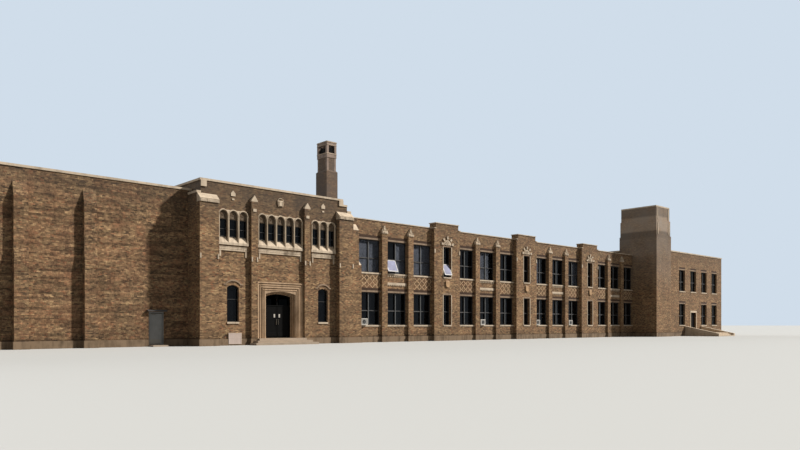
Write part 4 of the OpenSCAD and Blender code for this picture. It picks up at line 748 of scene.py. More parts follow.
class SCHOOL_OT_studio(bpy.types.Operator):
    """Sets up the floor, the backdrop, the lamps and the camera"""
    bl_idname = "school.studio"
    bl_label = "Studio"

    def execute(self, context):
        look = context.scene.school_studio
        self.add_floor(look)
        self.add_lamp("key_lamp", (0.67, -0.42, 0.61), look.sun_strength, look.sun_size, (1.0, 0.97, 0.93))
        self.add_lamp("rear_fill", (-0.12, 0.9, 0.3), look.fill_strength, look.fill_size, (0.95, 0.97, 1.0))
        self.set_backdrop(context.scene, look)
        self.add_camera(context.scene, look)
        context.scene.view_settings.view_transform = "Standard"
        return {"FINISHED"}

    def add_floor(self, look):
        """A floor that throws less light on the model than it shows."""
        deselect_all()
        bpy.ops.mesh.primitive_plane_add(size=400.0, location=(0.0, 0.0, 0.0))
        floor = bpy.context.object
        floor.name = "studio_floor"
        r = Recipe("studio_floor", 0.95, 0.1)
        dull = tuple(0.4 * part for part in look.floor[:3]) + (1.0,)
        floor.data.materials.append(r.finish(r.mix(r.seen_directly(), dull, look.floor[:])))

    def add_lamp(self, name, towards, strength, size, colour):
        """A sun that shines from one direction."""
        lamp = bpy.data.lights.new(name, "SUN")
        lamp.energy = strength
        lamp.angle = size
        lamp.color = colour
        holder = bpy.data.objects.new(name, lamp)
        holder.rotation_euler = Vector(towards).to_track_quat("Z", "Y").to_euler()
        holder.location = Vector(towards) * 10.0
        bpy.context.scene.collection.objects.link(holder)

    def set_backdrop(self, scene, look):
        """Even light from all round, and another colour where the backdrop shows."""
        world = bpy.data.worlds.new("studio_world")
        world.use_nodes = True
        world.node_tree.nodes.clear()
        scene.world = world
        sky = Nodes(world.node_tree)
        light = sky.add("ShaderNodeBackground", {"Color": (0.96, 0.98, 1.0, 1.0), "Strength": look.ambient})
        shown = sky.add("ShaderNodeBackground", {"Color": look.backdrop[:]})
        inputs = {0: sky.seen_directly(), 1: light.outputs[0], 2: shown.outputs[0]}
        mix = sky.add("ShaderNodeMixShader", inputs)
        sky.add("ShaderNodeOutputWorld", {"Surface": mix.outputs[0]})

    def add_camera(self, scene, look):
        """A level camera at the photo's place, with the lens shifted up."""
        camera = bpy.data.cameras.new("street_camera")
        camera.lens = look.lens
        camera.sensor_width = 36.0
        camera.sensor_fit = "HORIZONTAL"
        camera.shift_y = look.rise
        camera.clip_end = 1000.0
        holder = bpy.data.objects.new("street_camera", camera)
        holder.location = look.eye
        holder.rotation_euler = (math.radians(90), 0.0, look.heading)
        scene.collection.objects.link(holder)
        scene.camera = holder


# Modelling helpers

def deselect_all():
    """Leaves edit mode and clears the selection."""
    if bpy.context.object and bpy.context.object.mode != "OBJECT":
        bpy.ops.object.mode_set(mode="OBJECT")
    bpy.ops.object.select_all(action="DESELECT")


def activate(piece):
    """Selects one piece and nothing else."""
    deselect_all()
    piece.select_set(True)
    bpy.context.view_layer.objects.active = piece


def settled(piece):
    """Puts a piece's place, turn and size into its mesh."""
    activate(piece)
    bpy.ops.object.transform_apply(location=True, rotation=True, scale=True)
    return piece


def block(low, high):
    """A box between two corners."""
    deselect_all()
    low, high = Vector(low), Vector(high)
    bpy.ops.mesh.primitive_cube_add(size=1.0, location=(low + high) / 2, scale=high - low)
    return settled(bpy.context.object)


def rod(start, end, radius, sides=10, tip=None):
    """A round bar between two points, which may taper to another radius."""
    deselect_all()
    start, end = Vector(start), Vector(end)
    way = end - start
    bpy.ops.mesh.primitive_cone_add(
        vertices=sides, radius1=radius, radius2=radius if tip is None else tip, depth=way.length,
        location=(start + end) / 2, rotation=way.to_track_quat("Z", "Y").to_euler())
    return settled(bpy.context.object)


def picked(piece, kind, test):
    """Enters edit mode with only the faces or points selected that pass a test."""
    activate(piece)
    bpy.ops.object.mode_set(mode="EDIT")
    bpy.ops.mesh.select_mode(type=kind)
    bpy.ops.mesh.select_all(action="DESELECT")
    bpy.ops.object.mode_set(mode="OBJECT")
    for part in piece.data.polygons if kind == "FACE" else piece.data.vertices:
        part.select = test(part)
    bpy.ops.object.mode_set(mode="EDIT")


def widened(piece, share):
    """Makes the top of a piece wider along X."""
    picked(piece, "FACE", lambda face: face.normal.z > FACING)
    bpy.ops.transform.resize(value=(share, 1.0, 1.0))
    bpy.ops.object.mode_set(mode="OBJECT")
    return piece


def stepped(piece, way, *steps):
    """Insets the faces that look one way and moves them, once for each (rim, rise)."""
    picked(piece, "FACE", lambda face: face.normal.dot(way) > FACING)
    for rim, rise in steps:
        bpy.ops.mesh.inset(thickness=rim)
        bpy.ops.transform.translate(value=way * rise)
    bpy.ops.object.mode_set(mode="OBJECT")
    return piece


def raised(low, high, *steps):
    """A box between two corners, stepped on its front."""
    return stepped(block(low, high), OUT, *steps)


def pierced(piece, way, rim):
    """Cuts a hole through a slab, a rim's width from its edges."""
    picked(piece, "FACE", lambda face: abs(face.normal.dot(way)) > FACING)
    bpy.ops.mesh.inset(thickness=rim)
    bpy.ops.mesh.bridge_edge_loops()
    bpy.ops.object.mode_set(mode="OBJECT")
    return piece


def framed(low, high, rim):
    """An upright frame between two corners, open from front to back."""
    return pierced(block(low, high), OUT, rim)


def softened(piece, width):
    """Bevels every edge of a piece."""
    activate(piece)
    bpy.ops.object.mode_set(mode="EDIT")
    bpy.ops.mesh.select_all(action="SELECT")
    bpy.ops.mesh.bevel(offset=width, segments=1, affect="EDGES")
    bpy.ops.object.mode_set(mode="OBJECT")
    return piece


def row(piece, count, offset):
    """Repeats a piece with an array modifier, which is applied."""
    array = piece.modifiers.new("row", "ARRAY")
    array.count = count
    array.use_relative_offset = False
    array.use_constant_offset = True
    array.constant_offset_displace = offset
    activate(piece)
    bpy.ops.object.modifier_apply(modifier=array.name)
    return piece


def joined(pieces):
    """Joins pieces into the first."""
    deselect_all()
    for piece in pieces:
        piece.select_set(True)
    bpy.context.view_layer.objects.active = pieces[0]
    if len(pieces) > 1:
        bpy.ops.object.join()
    return pieces[0]


def copied(piece, places):
    """Copies a piece to each place or matrix, each with its own mesh, and joins the copies."""
    copies = []
    for place in places:
        copy = piece.copy()
        copy.data = piece.data.copy()
        copy.data.transform(place if isinstance(place, Matrix) else Matrix.Translation(place))
        bpy.context.scene.collection.objects.link(copy)
        copies.append(copy)
    bpy.data.objects.remove(piece)
    return joined(copies)


def moved(piece, place):
    """Moves a piece's mesh."""
    piece.data.transform(Matrix.Translation(place))
    return piece


def turned(piece, angle, axis, about=(0.0, 0.0, 0.0)):
    """Turns a piece's mesh about a line through a point."""
    pivot = Matrix.Translation(about)
    piece.data.transform(pivot @ Matrix.Rotation(angle, 4, axis) @ pivot.inverted())
    return piece


def fanned(turns, place=(0.0, 0.0, 0.0)):
    """A matrix at one place for each turn, in degrees, in the plane of the front."""
    return [Matrix.Translation(place) @ Matrix.Rotation(math.radians(turn), 4, "Y") for turn in turns]


def petals(low, high, edge, share, turn):
    """Seven petals round a point, a turn in degrees apart, each wider at its tip."""
    petal = widened(raised(low, high, edge), share)
    return copied(petal, fanned([turn * (step - 3) for step in range(7)]))


def arched_roll(centre, radius, sweep, thickness, steps=16):
    """A round moulding bent along an arch that rises over a point of a wall face."""
    deselect_all()
    start = Vector(centre) + Matrix.Rotation(-sweep / 2, 3, "Y") @ Vector((0.0, 0.0, radius))
    bpy.ops.mesh.primitive_circle_add(
        vertices=THIN_SIDES, radius=thickness, fill_type="NGON", location=start,
        rotation=(0.0, math.pi / 2 - sweep / 2, 0.0))
    roll = settled(bpy.context.object)
    bpy.ops.object.mode_set(mode="EDIT")
    bpy.ops.mesh.select_all(action="SELECT")
    bpy.ops.mesh.spin(steps=steps, angle=-sweep, center=centre, axis=(0.0, 1.0, 0.0))
    bpy.ops.mesh.select_all(action="SELECT")
    bpy.ops.mesh.remove_doubles(threshold=MERGE)
    bpy.ops.mesh.normals_make_consistent(inside=False)
    bpy.ops.object.mode_set(mode="OBJECT")
    return settled(roll)


def dressed(piece, look):
    """Gives a piece one finish."""
    piece.data.materials.clear()
    piece.data.materials.append(bpy.data.materials[look])
    return piece


def finished(pieces, name, look=None, body="building", smooth=False):
    """Joins, names and seats the parts of one piece, and dresses them where they share a finish."""
    piece = joined([dressed(part, look) for part in pieces] if look else pieces)
    piece.name = name
    piece.data.name = name
    if smooth:
        activate(piece)
        bpy.ops.object.shade_smooth_by_angle(angle=SMOOTH_ANGLE)
    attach(piece, body)
    return piece


# Brickwork

class SCHOOL_OT_buttresses(bpy.types.Operator):
    """Shallow buttresses on the hall's front, and the plinth that runs round them"""
    bl_idname = "school.buttresses"
    bl_label = "Hall buttresses"

    def execute(self, context):
        low, high = box("hall_buttresses")
        wall = box("hall_front_wall")[0].y
        piers = self.copy_of("hall_buttresses")
        picked(piers, "VERT", lambda point: True)
        bpy.ops.transform.resize(value=(1.0, BUTTRESS_DEPTH / (wall - low.y), 1.0),
                                 center_override=(0.0, wall, 0.0))
        finished([piers], "shallow_buttresses", "hall_brick")
        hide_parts("hall_buttresses")
        plinth = self.copy_of("plinths")
        end = high.x + 2 * STONE_LIP
        picked(plinth, "VERT", lambda point: point.co.x < end and point.co.y < wall - 2 * STONE_LIP)
        bpy.ops.transform.translate(value=(0.0, wall - low.y - BUTTRESS_DEPTH, 0.0))
        finished([plinth], "plinth_course", "plinth_stone")
        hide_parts("plinths")
        return {"FINISHED"}

    def copy_of(self, node):
        """A merged copy of a CAD node's mesh."""
        copy = bpy.data.objects.new(node, frame["nodes"][node].data.copy())
        bpy.context.scene.collection.objects.link(copy)
        picked(copy, "VERT", lambda point: True)
        bpy.ops.mesh.remove_doubles(threshold=MERGE)
        bpy.ops.object.mode_set(mode="OBJECT")
        return copy


class SCHOOL_OT_lintels(bpy.types.Operator):
    """Upright bricks over the stone heads of the windows"""
    bl_idname = "school.lintels"
    bl_label = "Brick lintels"

    def execute(self, context):
        rise = layout.head_rise
        places = layout.front_places(layout.wing_front, rise) + layout.rear_places(layout.wing_back, rise)
        wide = copied(self.course(layout.window_w), places)
        narrow = copied(self.course(PAVILION_WINDOW_W), layout.pavilion_places(layout.pavilion_front, rise))
        finished([wide, narrow], "window_lintels", "dark_brick")
        return {"FINISHED"}

    def course(self, width):
        """A row of upright bricks with worn edges, from x = 0."""
        count = round(width / UPRIGHT_PITCH)
        pitch = width / count
        brick = raised((0.0, -UPRIGHT_PROUD, 0.0003), (pitch - BRICK_JOINT, 0.0, UPRIGHT_H), WORN_EDGE)
        return row(brick, count, (pitch, 0.0, 0.0))


class SCHOOL_OT_spandrels(bpy.types.Operator):
    """Patterned brickwork and carved stone between the storeys' windows"""
    bl_idname = "school.spandrels"
    bl_label = "Spandrels"

    def execute(self, context):
        y, low, high = layout.wing_front, layout.spandrel_low, layout.spandrel_high
        outer = [(layout.window(group, place), y, low) for group in range(GROUPS) for place in (0, 2)]
        ground = raised((0.0, -0.0003, 0.0), (layout.window_w, 0.0, high - low), FLAT_EDGE)
        parts = [dressed(copied(ground, outer), "panel_brick"),
                 dressed(copied(self.lattice(high - low), outer), "pale_brick")]
        finished(parts, "spandrel_lattices")
        middle = [(layout.window(group, 1), y, high) for group in range(GROUPS)]
        finished([copied(self.block_row(), middle)], "spandrel_blocks", "carved_stone")
        return {"FINISHED"}

    def lattice(self, height):
        """Pale header bricks set in two rows of linked diamonds."""
        courses = int(height / COURSE / 2)
        middle = (courses - 1) / 2
        pitch = layout.window_w / DIAMONDS
        places = []
        for course in range(courses):
            offset = (1 - abs(course - middle) / (middle + 0.5)) * (pitch - HEADER_W) / 2
            sides = (-1, 1) if 2 * offset > HEADER_W else (0,)
            for line in (course, course + courses):
                places += [((diamond + 0.5) * pitch - HEADER_W / 2 + side * offset, -HEADER_PROUD,
                            line * COURSE) for diamond in range(DIAMONDS) for side in sides]
        header = raised((0.0, -HEADER_PROUD, 0.0004), (HEADER_W - BRICK_JOINT, 0.0, COURSE - BRICK_JOINT),
                        WORN_EDGE)
        return copied(header, places)

    def block_row(self):
        """Small square blocks in a row under a sill."""
        pitch = (layout.window_w - 2 * SPANDREL_MARGIN) / SPANDREL_BLOCKS
        stone = raised((SPANDREL_MARGIN + pitch * 0.2, -0.0035, -0.0150),
                       (SPANDREL_MARGIN + pitch * 0.8, 0.0, -0.0040), STONE_EDGE, (0.0012, -0.0010))
        return row(stone, SPANDREL_BLOCKS, (pitch, 0.0, 0.0))


# Windows

class SCHOOL_OT_glazing(bpy.types.Operator):
    """Mullions, transoms and rims of the windows"""
    bl_idname = "school.glazing"
    bl_label = "Glazing bars"

    def execute(self, context):
        front = layout.front_places(layout.frame_front)
        pavilion = layout.pavilion_places(layout.pavilion_front + FRAME_SET)
        slits = [(x - SLIT_W / 2, layout.slit_front, z) for x in layout.slits() for z in layout.sills]
        bars = [copied(self.bars(layout.window_w), front), copied(self.bars(PAVILION_WINDOW_W), pavilion),
                copied(self.slit_bars(), slits)]
        finished(bars, "glazing_bars")
        rear = copied(self.bars(layout.window_w), layout.rear_places(layout.rear_glass))
        finished([rear], "rear_glazing_bars")
        return {"FINISHED"}

    def bars(self, width):
        """A projecting mullion, a transom in each light and a rim, at a window's left foot."""
        left, right = (width - MULLION_W) / 2, (width + MULLION_W) / 2
        fin = raised((left, -FIN_PROUD, FRAME_W), (right, 0.0, layout.window_h - FRAME_W), BAR_EDGE)
        # The right transom and the rim carry painted shade; the fin has the frames' lit grey
        return joined([dressed(fin, "frame_paint"),
                       dressed(self.transom(FRAME_W, left, TRANSOM_H), "faint_frame"),
                       dressed(self.transom(right, width - FRAME_W, TRANSOM_H), "shaded_frame_grey"),
                       dressed(self.rim(width), "shaded_frame_grey")])

    def slit_bars(self):
        """The transom and rim of a slit window."""
        parts = [self.transom(FRAME_W, SLIT_W - FRAME_W, FRAME_W), self.rim(SLIT_W)]
        return joined([dressed(part, "shaded_frame_grey") for part in parts])

    def transom(self, left, right, height):
        """The level bar of one light."""
        split = layout.split
        return raised((left, -TRANSOM_PROUD, split), (right, 0.0, split + height), BAR_EDGE)

    def rim(self, width):
        """The frame round a window's glass."""
        return framed((0.0, -FRAME_PROUD, 0.0), (width, 0.0, layout.window_h), FRAME_W)


class SCHOOL_OT_blinds(bpy.types.Operator):
    """Upright blind slats behind thin panes in some upper windows"""
    bl_idname = "school.blinds"
    bl_label = "Blinds"

    def execute(self, context):
        y, light_w = layout.frame_front, layout.light_w
        lights = ((FRAME_W, layout.split), (layout.split + MULLION_W, layout.window_h - FRAME_W))
        slats, panes = [], []
        for group, place, side, drawn in BLINDS:
            x = layout.window(group, place) + FRAME_W + side * (light_w + MULLION_W)
            for low, high in lights:
                z = layout.upper_sill_z + low
                slats.append(self.slats(x, z, light_w * drawn, high - low))
                panes.append(raised((x, y + 0.0004, z), (x + light_w, y + 0.0008, z + high - low),
                                    (0.0005, 0.0001)))
        finished(slats, "blind_slats", "blind_cloth")
        finished(panes, "blind_panes", "clear_glass")
        return {"FINISHED"}

    def slats(self, x, z, width, height):
        """Slats that hang side by side, each a little turned."""
        slat = raised((-SLAT_W / 2, -0.0001, SLAT_GAP), (SLAT_W / 2, 0.0001, height - SLAT_GAP),
                      (0.0012, 0.0003))
        slat = moved(turned(slat, SLAT_TURN, "Z"), (x + SLAT_W / 2, layout.frame_front + SLAT_SET, z))
        return row(slat, max(1, int(width / SLAT_PITCH)), (SLAT_PITCH, 0.0, 0.0))


class SCHOOL_OT_sashes(bpy.types.Operator):
    """The two top-hung sashes that stand open"""
    bl_idname = "school.sashes"
    bl_label = "Open sashes"

    def execute(self, context):
        inset = FRAME_W - SASH_LAP
        wide = (layout.window(0, 1), layout.frame_front, layout.light_w + 2 * FRAME_W)
        slim = (layout.slits()[0] - SLIT_W / 2, layout.slit_front, SLIT_W)
        parts = []
        for x, front, width in (wide, slim):
            parts += self.sash(x + inset, front - SASH_T, width - 2 * inset)
        piece = finished(parts, "open_sash_frames")
        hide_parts("open_sashes")
        return {"FINISHED"}

    def sash(self, x, y, width):
        """A frame and its pane, hung from the top and pushed out at the foot."""
        z = layout.upper_sill_z + FRAME_W
        height = layout.split - FRAME_W + SASH_LAP
        rim = SASH_BAR - PANE_LAP
        ring = softened(framed((x, y, z), (x + width, y + SASH_T, z + height), SASH_BAR), 0.0003)
        pane = raised((x + rim, y + 0.0010, z + rim), (x + width - rim, y + 0.0018, z + height - rim),
                      PANE_EDGE)
        # The sash's pane is an opaque painted reflection of the sky
        leaves = [turned(dressed(part, look), -SASH_TILT, "X", (x, y, z + height))
                  for part, look in ((ring, "sash_paint"), (pane, "sash_painted_sky"))]
        hang = Vector((0.0, -math.sin(SASH_TILT), -math.cos(SASH_TILT))) * height * STAY_DOWN
        for side in (x + STAY_X, x + width - STAY_X):
            foot = (side, y + SASH_T, z + height * STAY_UP)
            stay = rod(foot, Vector((side, y, z + height)) + hang, STAY_R, 6)
            leaves.append(dressed(stay, "frame_paint"))
        return leaves


class SCHOOL_OT_coolers(bpy.types.Operator):
    """Window air conditioners with a round grille, side louvres and a filler panel"""
    bl_idname = "school.coolers"
    bl_label = "Air conditioners"

    def execute(self, context):
        low, high = box("air_conditioners")
        depth = high.y - low.y
        middle = Vector((COOLER_W / 2, 0.0016, COOLER_H / 2))
        inner_w, inner_h = COOLER_W - COOLER_RIM, COOLER_H - COOLER_RIM
        shell = softened(block((0.0, 0.0, 0.0), (COOLER_W, depth, COOLER_H)), 0.0006)
        filler_end = (layout.window_w - MULLION_W) / 2 - COOLER_X
        spoke = block((-0.0004, -0.0008, 0.0), (0.0004, 0.0, GRILLE_RADII[0]))
        turns = [360 * step / GRILLE_SPOKES for step in range(GRILLE_SPOKES)]
        parts = [
            (stepped(shell, OUT, (0.0040, 0.0), (0.0005, -0.0016)), "cream_paint"),
            (raised((COOLER_W, depth - 0.004, 0.0), (filler_end, depth, COOLER_H), (0.003, -0.0008)),
             "cream_paint"),
            (raised((COOLER_RIM, 0.0014, COOLER_RIM), (inner_w, 0.0018, inner_h), (0.0010, 0.0001)),
             "cooler_face"),
            # Painted shade on a dark disc behind the grille and in the side slots
            (rod(middle, middle + OUT * 0.0006, 0.0170, 28, 0.0160), "painted_recess_shade"),
            (copied(spoke, fanned(turns, middle + OUT * 0.0004)), "cooler_grille"),
            (self.louvres(depth), "painted_recess_shade"),
        ]
        parts += [(self.ring(middle + OUT * 0.0007, radius), "cooler_grille") for radius in GRILLE_RADII]
        places = [(layout.window(group, place) + COOLER_X, low.y, low.z) for group, place in COOLERS]
        boxes = copied(joined([dressed(part, look) for part, look in parts]), places)
        piece = finished([boxes], "cooler_boxes")
        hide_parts("air_conditioners")
        return {"FINISHED"}

    def ring(self, middle, radius):
        """One round wire of the grille."""
        deselect_all()
        bpy.ops.mesh.primitive_torus_add(
            location=middle, rotation=(math.pi / 2, 0.0, 0.0), major_radius=radius,
            minor_radius=GRILLE_WIRE, major_segments=24, minor_segments=5)
        return settled(bpy.context.object)

    def louvres(self, depth):
        """Slots along both sides of the case."""
        slot = block((-0.0002, depth * 0.25, 0.010), (0.0006, depth * 0.75, 0.0118))
        slot = row(stepped(slot, LEFT, (0.0003, 0.0001)), 6, (0.0, 0.0, 0.0055))
        return copied(slot, [(0.0, 0.0, 0.0), (COOLER_W - 0.0004, 0.0, 0.0)])


# Carved stone

class SCHOOL_OT_arches(bpy.types.Operator):
    """Rolls and carved fans of the arched windows, and the carved bands below"""
    bl_idname = "school.arches"
    bl_label = "Arch carving"

    def execute(self, context):
        spring = box("arched_windows")[1].z - ARCH_PITCH / 2
        face = layout.block_front
        places = [(x, 0.0, 0.0) for x in layout.arches()]
        rolls = [arched_roll((0.0, face - proud, spring), ARCH_RING_R + wider, math.pi, thickness)
                 for proud, wider, thickness in ARCH_ROLLS]
        finished([copied(joined(rolls), places)], "arch_rolls", "clean_stone", smooth=True)
        self.springers(face, spring)
        fans = copied(moved(self.fan(), (0.0, face + TYMPANUM_SET, spring)), places)
        finished([fans], "arch_fans", "fan_stone", smooth=True)
        self.bands(face - STONE_LIP)
        return {"FINISHED"}

    def springers(self, face, spring):
        """Pale stones that fill the corners between neighbouring arches."""
        stone = raised((-0.0025, -0.0050, -0.0040), (0.0025, 0.0, 0.0340), CARVED_EDGE)
        places = [(left + ARCH_PITCH / 2, face, spring)
                  for left, right in zip(layout.arches(), layout.arches()[1:])
                  if right - left < ARCH_PITCH * 1.1]
        finished([copied(widened(stone, 6.0), places)], "arch_springers", "clean_stone")

    def fan(self):
        """Petals that spread from a boss on the blind head of an arch."""
        spread = petals((-0.0016, -0.0022, 0.0085), (0.0016, 0.0, 0.0235), (0.0009, 0.0006), 2.2, 24)
        boss = rod((0.0, 0.0, 0.0), (0.0, -0.0030, 0.0), 0.0070, BOSS_SIDES, 0.0042)
        spans = ((-0.0225, -0.0105, 0.0014, -0.0185, -0.0055), (0.0105, 0.0225, 0.0014, -0.0185, -0.0055),
                 (-0.0260, 0.0260, 0.0016, -0.0250, -0.0215))
        panels = [raised((left, -proud, foot), (right, 0.0, head), CUT_EDGE, (0.0014, -0.0008))
                  for left, right, proud, foot, head in spans]
        return joined([spread, boss] + panels)

    def bands(self, face):
        """A row of small flowers between two fillets along each carved band."""
        low = box("arcade_sills")[0].z + BAND_RISE
        flower = rod((0.0, 0.0, 0.0), (0.0, -0.0012, 0.0), 0.0058, THIN_SIDES, 0.0050)
        flower = stepped(flower, OUT, (0.0012, -0.0006), (0.0012, 0.0010), (0.0010, 0.0004))
        places, fillets = [], []
        for centre, count in layout.arch_groups():
            half = count * ARCH_PITCH / 2 - BAND_MARGIN
            flowers = count * FLOWERS_PER_ARCH - 1
            pitch = 2 * half / flowers
            first = centre - pitch * (flowers - 1) / 2
            places += [(first + i * pitch, face, low + BAND_H / 2) for i in range(flowers)]
            left, right = centre - half, centre + half
            fillets += [raised((left, face - 0.0012, z), (right, face, z + FILLET_H), SLIM_EDGE)
                        for z in (low + 0.0015, low + BAND_H - 0.0040)]
        finished([copied(flower, places)] + fillets, "carved_bands", "carved_stone")


class SCHOOL_OT_doorway(bpy.types.Operator):
    """Rolls over the doorway, with caps and bases on the jambs' rolls"""
    bl_idname = "school.doorway"
    bl_label = "Doorway carving"

    def execute(self, context):
        front = box("portal_surround")[0].y
        door_low, door_high = box("main_door_frame")
        floor, spring = door_low.z, door_high.z - DOOR_RISE
        parts = []
        for order in range(ORDERS):
            half = DOOR_FRONT_HALF - order * ORDER_STEP - ROLL_SET
            y = front + (order + 1) * ORDER_DEPTH - ROLL_SET
            head = spring + (ORDERS - order) * ORDER_STEP - ROLL_SET
            radius = (half * half + DOOR_RISE * DOOR_RISE) / (2 * DOOR_RISE)
            centre = (layout.block_x, y, head + DOOR_RISE - radius)
            parts.append(arched_roll(centre, radius, 2 * math.asin(half / radius), 0.0042, 20))
            for x in (layout.block_x - half, layout.block_x + half):
                parts.append(rod((x, y, spring - 0.012), (x, y, head + 0.001), 0.0046, ROLL_SIDES, 0.0060))
                parts.append(rod((x, y, floor), (x, y, floor + ROLL_FOOT), 0.0064, ROLL_SIDES, 0.0050))
        for half, head, radius in FRONT_ROLLS:
            parts += self.front_roll(half, front - radius * 0.3, floor, head, radius)
        finished(parts, "doorway_rolls", "doorway_stone", smooth=True)
        return {"FINISHED"}

    def front_roll(self, half, y, floor, head, radius):
        """An upright roll on the front of both jambs, joined by a straight one across the head."""
        parts = []
        xs = (layout.block_x - half, layout.block_x + half)
        for x in xs:
            parts.append(rod((x, y, floor + ROLL_FOOT - ROLL_LAP), (x, y, head), radius, ROLL_SIDES))
            parts.append(rod((x, y, floor), (x, y, floor + ROLL_FOOT), radius * 1.5, ROLL_SIDES,
                             radius * 1.1))
        parts.append(rod((xs[0], y, head), (xs[1], y, head), radius, ROLL_SIDES))
        return parts + [self.elbow((x, y, head), radius) for x in xs]

    def elbow(self, place, radius):
        """A round knop where an upright roll meets the one across."""
        deselect_all()
        bpy.ops.mesh.primitive_uv_sphere_add(
            segments=ROLL_SIDES, ring_count=8, radius=radius * KNOP_SHARE, location=place)
        return settled(bpy.context.object)


class SCHOOL_OT_crest(bpy.types.Operator):
    """A plain scrolled shield over the middle arches, and the face of the blank panel"""
    bl_idname = "school.crest"
    bl_label = "Crest"

    def execute(self, context):
        x, face = layout.block_x, layout.block_front - STONE_LIP
        z = box("block_wall_over_door")[1].z - CREST_DROP
        parts = [arched_roll((x, face - 0.0008, z + 0.012), 0.0260, math.radians(150), 0.0018, 12),
                 raised((x - 0.0140, face - 0.0040, z - 0.0160), (x + 0.0140, face, z + 0.0160),
                        (0.0020, 0.0012), (0.0015, -0.0015))]
        for side in (-1, 1):
            parts.append(self.scroll(x + side * 0.0230, face, z + 0.0130, 0.0050))
            parts.append(self.scroll(x + side * 0.0180, face, z - 0.0170, 0.0040))
            parts.append(rod((x + side * 0.0215, face - 0.001, z - 0.012),
                             (x + side * 0.0225, face - 0.001, z + 0.008), 0.0018, THIN_SIDES))
        finished(parts, "crest", "carved_stone", smooth=True)
        self.panel_face(x - layout.side_dx + PANEL_DX, face - PANEL_LIP)
        return {"FINISHED"}

    def panel_face(self, x, y):
        """The smooth sunk face of the blank panel near the left corner."""
        face = raised((x - PANEL_HALF, y - 0.0012, PANEL_LOW), (x + PANEL_HALF, y, PANEL_HIGH),
                      (0.0040, 0.0), (0.0010, -0.0008))
        finished([face], "blank_panel_face", "panel_stone")

    def scroll(self, x, y, z, radius):
        """A flat curl with a raised eye."""
        curl = rod((x, y, z), (x, y - 0.0030, z), radius, BOSS_SIDES, radius * 0.9)
        return stepped(curl, OUT, (radius * 0.25, -0.0012), (radius * 0.3, 0.0018))


class SCHOOL_OT_caps(bpy.types.Operator):
    """Sunk faces and round ends of the corner and pier caps"""
    bl_idname = "school.caps"
    bl_label = "Pier cap carving"

    def execute(self, context):
        low = box("corner_piers")[0]
        y = low.y - STONE_LIP
        corners = (low.x, box("block_wall_right")[1].x - CORNER_W)
        faces = [raised((x + start, y - 0.0022, CORNER_CAP_Z + 0.002),
                        (x + start + width, y, CORNER_CAP_Z + 0.021), (0.0035, -0.0010), (0.0020, 0.0008))
                 for x in corners for start, width in CORNER_FACES]
        finished(faces, "corner_cap_faces", "carved_stone")
        pier_w = layout.pier_w
        sunk = STONE_LIP + 0.003
        parts = [raised((pier_w * 0.2, -0.0010, 0.003), (pier_w * 0.8, 0.0, 0.0125),
                        CARVED_EDGE, (0.0015, -0.0012)),
                 raised((pier_w * 0.38, sunk - 0.0016, 0.020), (pier_w * 0.62, sunk, 0.038),
                        (0.0010, 0.0012))]
        parts += [self.knob(pier_w * share, z, radius) for share, z, radius in CAP_KNOBS]
        places = [(layout.window(group, place) + layout.window_w, layout.pier_front - STONE_LIP, PIER_CAP_Z)
                  for group in range(GROUPS) for place in (0, 1)]
        finished([copied(joined(parts), places)], "pier_cap_faces", "carved_stone")
        return {"FINISHED"}

    def knob(self, x, z, radius):
        """A round carved end on the point or a shoulder of a pier cap."""
        roll = rod((x, STONE_LIP + KNOB_L, z), (x, STONE_LIP, z), radius, 16)
        return stepped(roll, OUT, (0.0018, -0.0014), (0.0024, 0.0022), (0.0010, -0.0016))


class SCHOOL_OT_bays(bpy.types.Operator):
    """Wedge stones, fans and golden shields of the narrow bays"""
    bl_idname = "school.bays"
    bl_label = "Bay carving"

    def execute(self, context):
        front = layout.bay_front
        head = layout.upper_sill_z + layout.head_rise
        stone = raised((-0.0100, -0.0078, 0.052), (0.0100, -0.0030, 0.079),
                       (0.0016, 0.0010), (0.0022, -0.0014))
        places = [place for x in layout.slits() for place in fanned(VOUSSOIR_TURNS, (x, front, head))]
        finished([copied(stone, places)], "bay_voussoirs", "clean_stone")
        middle = (layout.spandrel_low + layout.spandrel_high) / 2 + SHIELD_RISE
        places = [(x, front - STONE_LIP + 0.001, middle) for x in layout.slits()]
        finished([copied(self.shield(), places)], "bay_shields", "gold_stone")
        spread = petals((-0.0014, -0.0018, 0.013), (0.0014, 0.0, 0.040), CUT_EDGE, 3.0, 25)
        boss = rod((0.0, 0.0, 0.0060), (0.0, -0.0024, 0.0060), 0.0055, BOSS_SIDES, 0.0035)
        places = [(x, front - STONE_LIP, head) for x in layout.slits()]
        finished([copied(joined([spread, boss]), places)], "bay_fans", "clean_stone")
        return {"FINISHED"}

    def shield(self):
        """A shield that tapers to its foot, with a raised and sunk face."""
        half = SHIELD_H / 2
        shield = block((-SHIELD_W / 2, -0.0045, -half * 0.2), (SHIELD_W / 2, 0.0, half))
        picked(shield, "FACE", lambda face: face.normal.z < -FACING)
        for drop, share in SHIELD_TAPERS:
            bpy.ops.mesh.extrude_region_move(TRANSFORM_OT_translate={"value": -UP * half * drop})
            bpy.ops.transform.resize(value=(share, 1.0, 1.0))
        bpy.ops.object.mode_set(mode="OBJECT")
        return stepped(shield, OUT, (0.0030, 0.0016), (0.0040, -0.0014))


# Doors and chimney

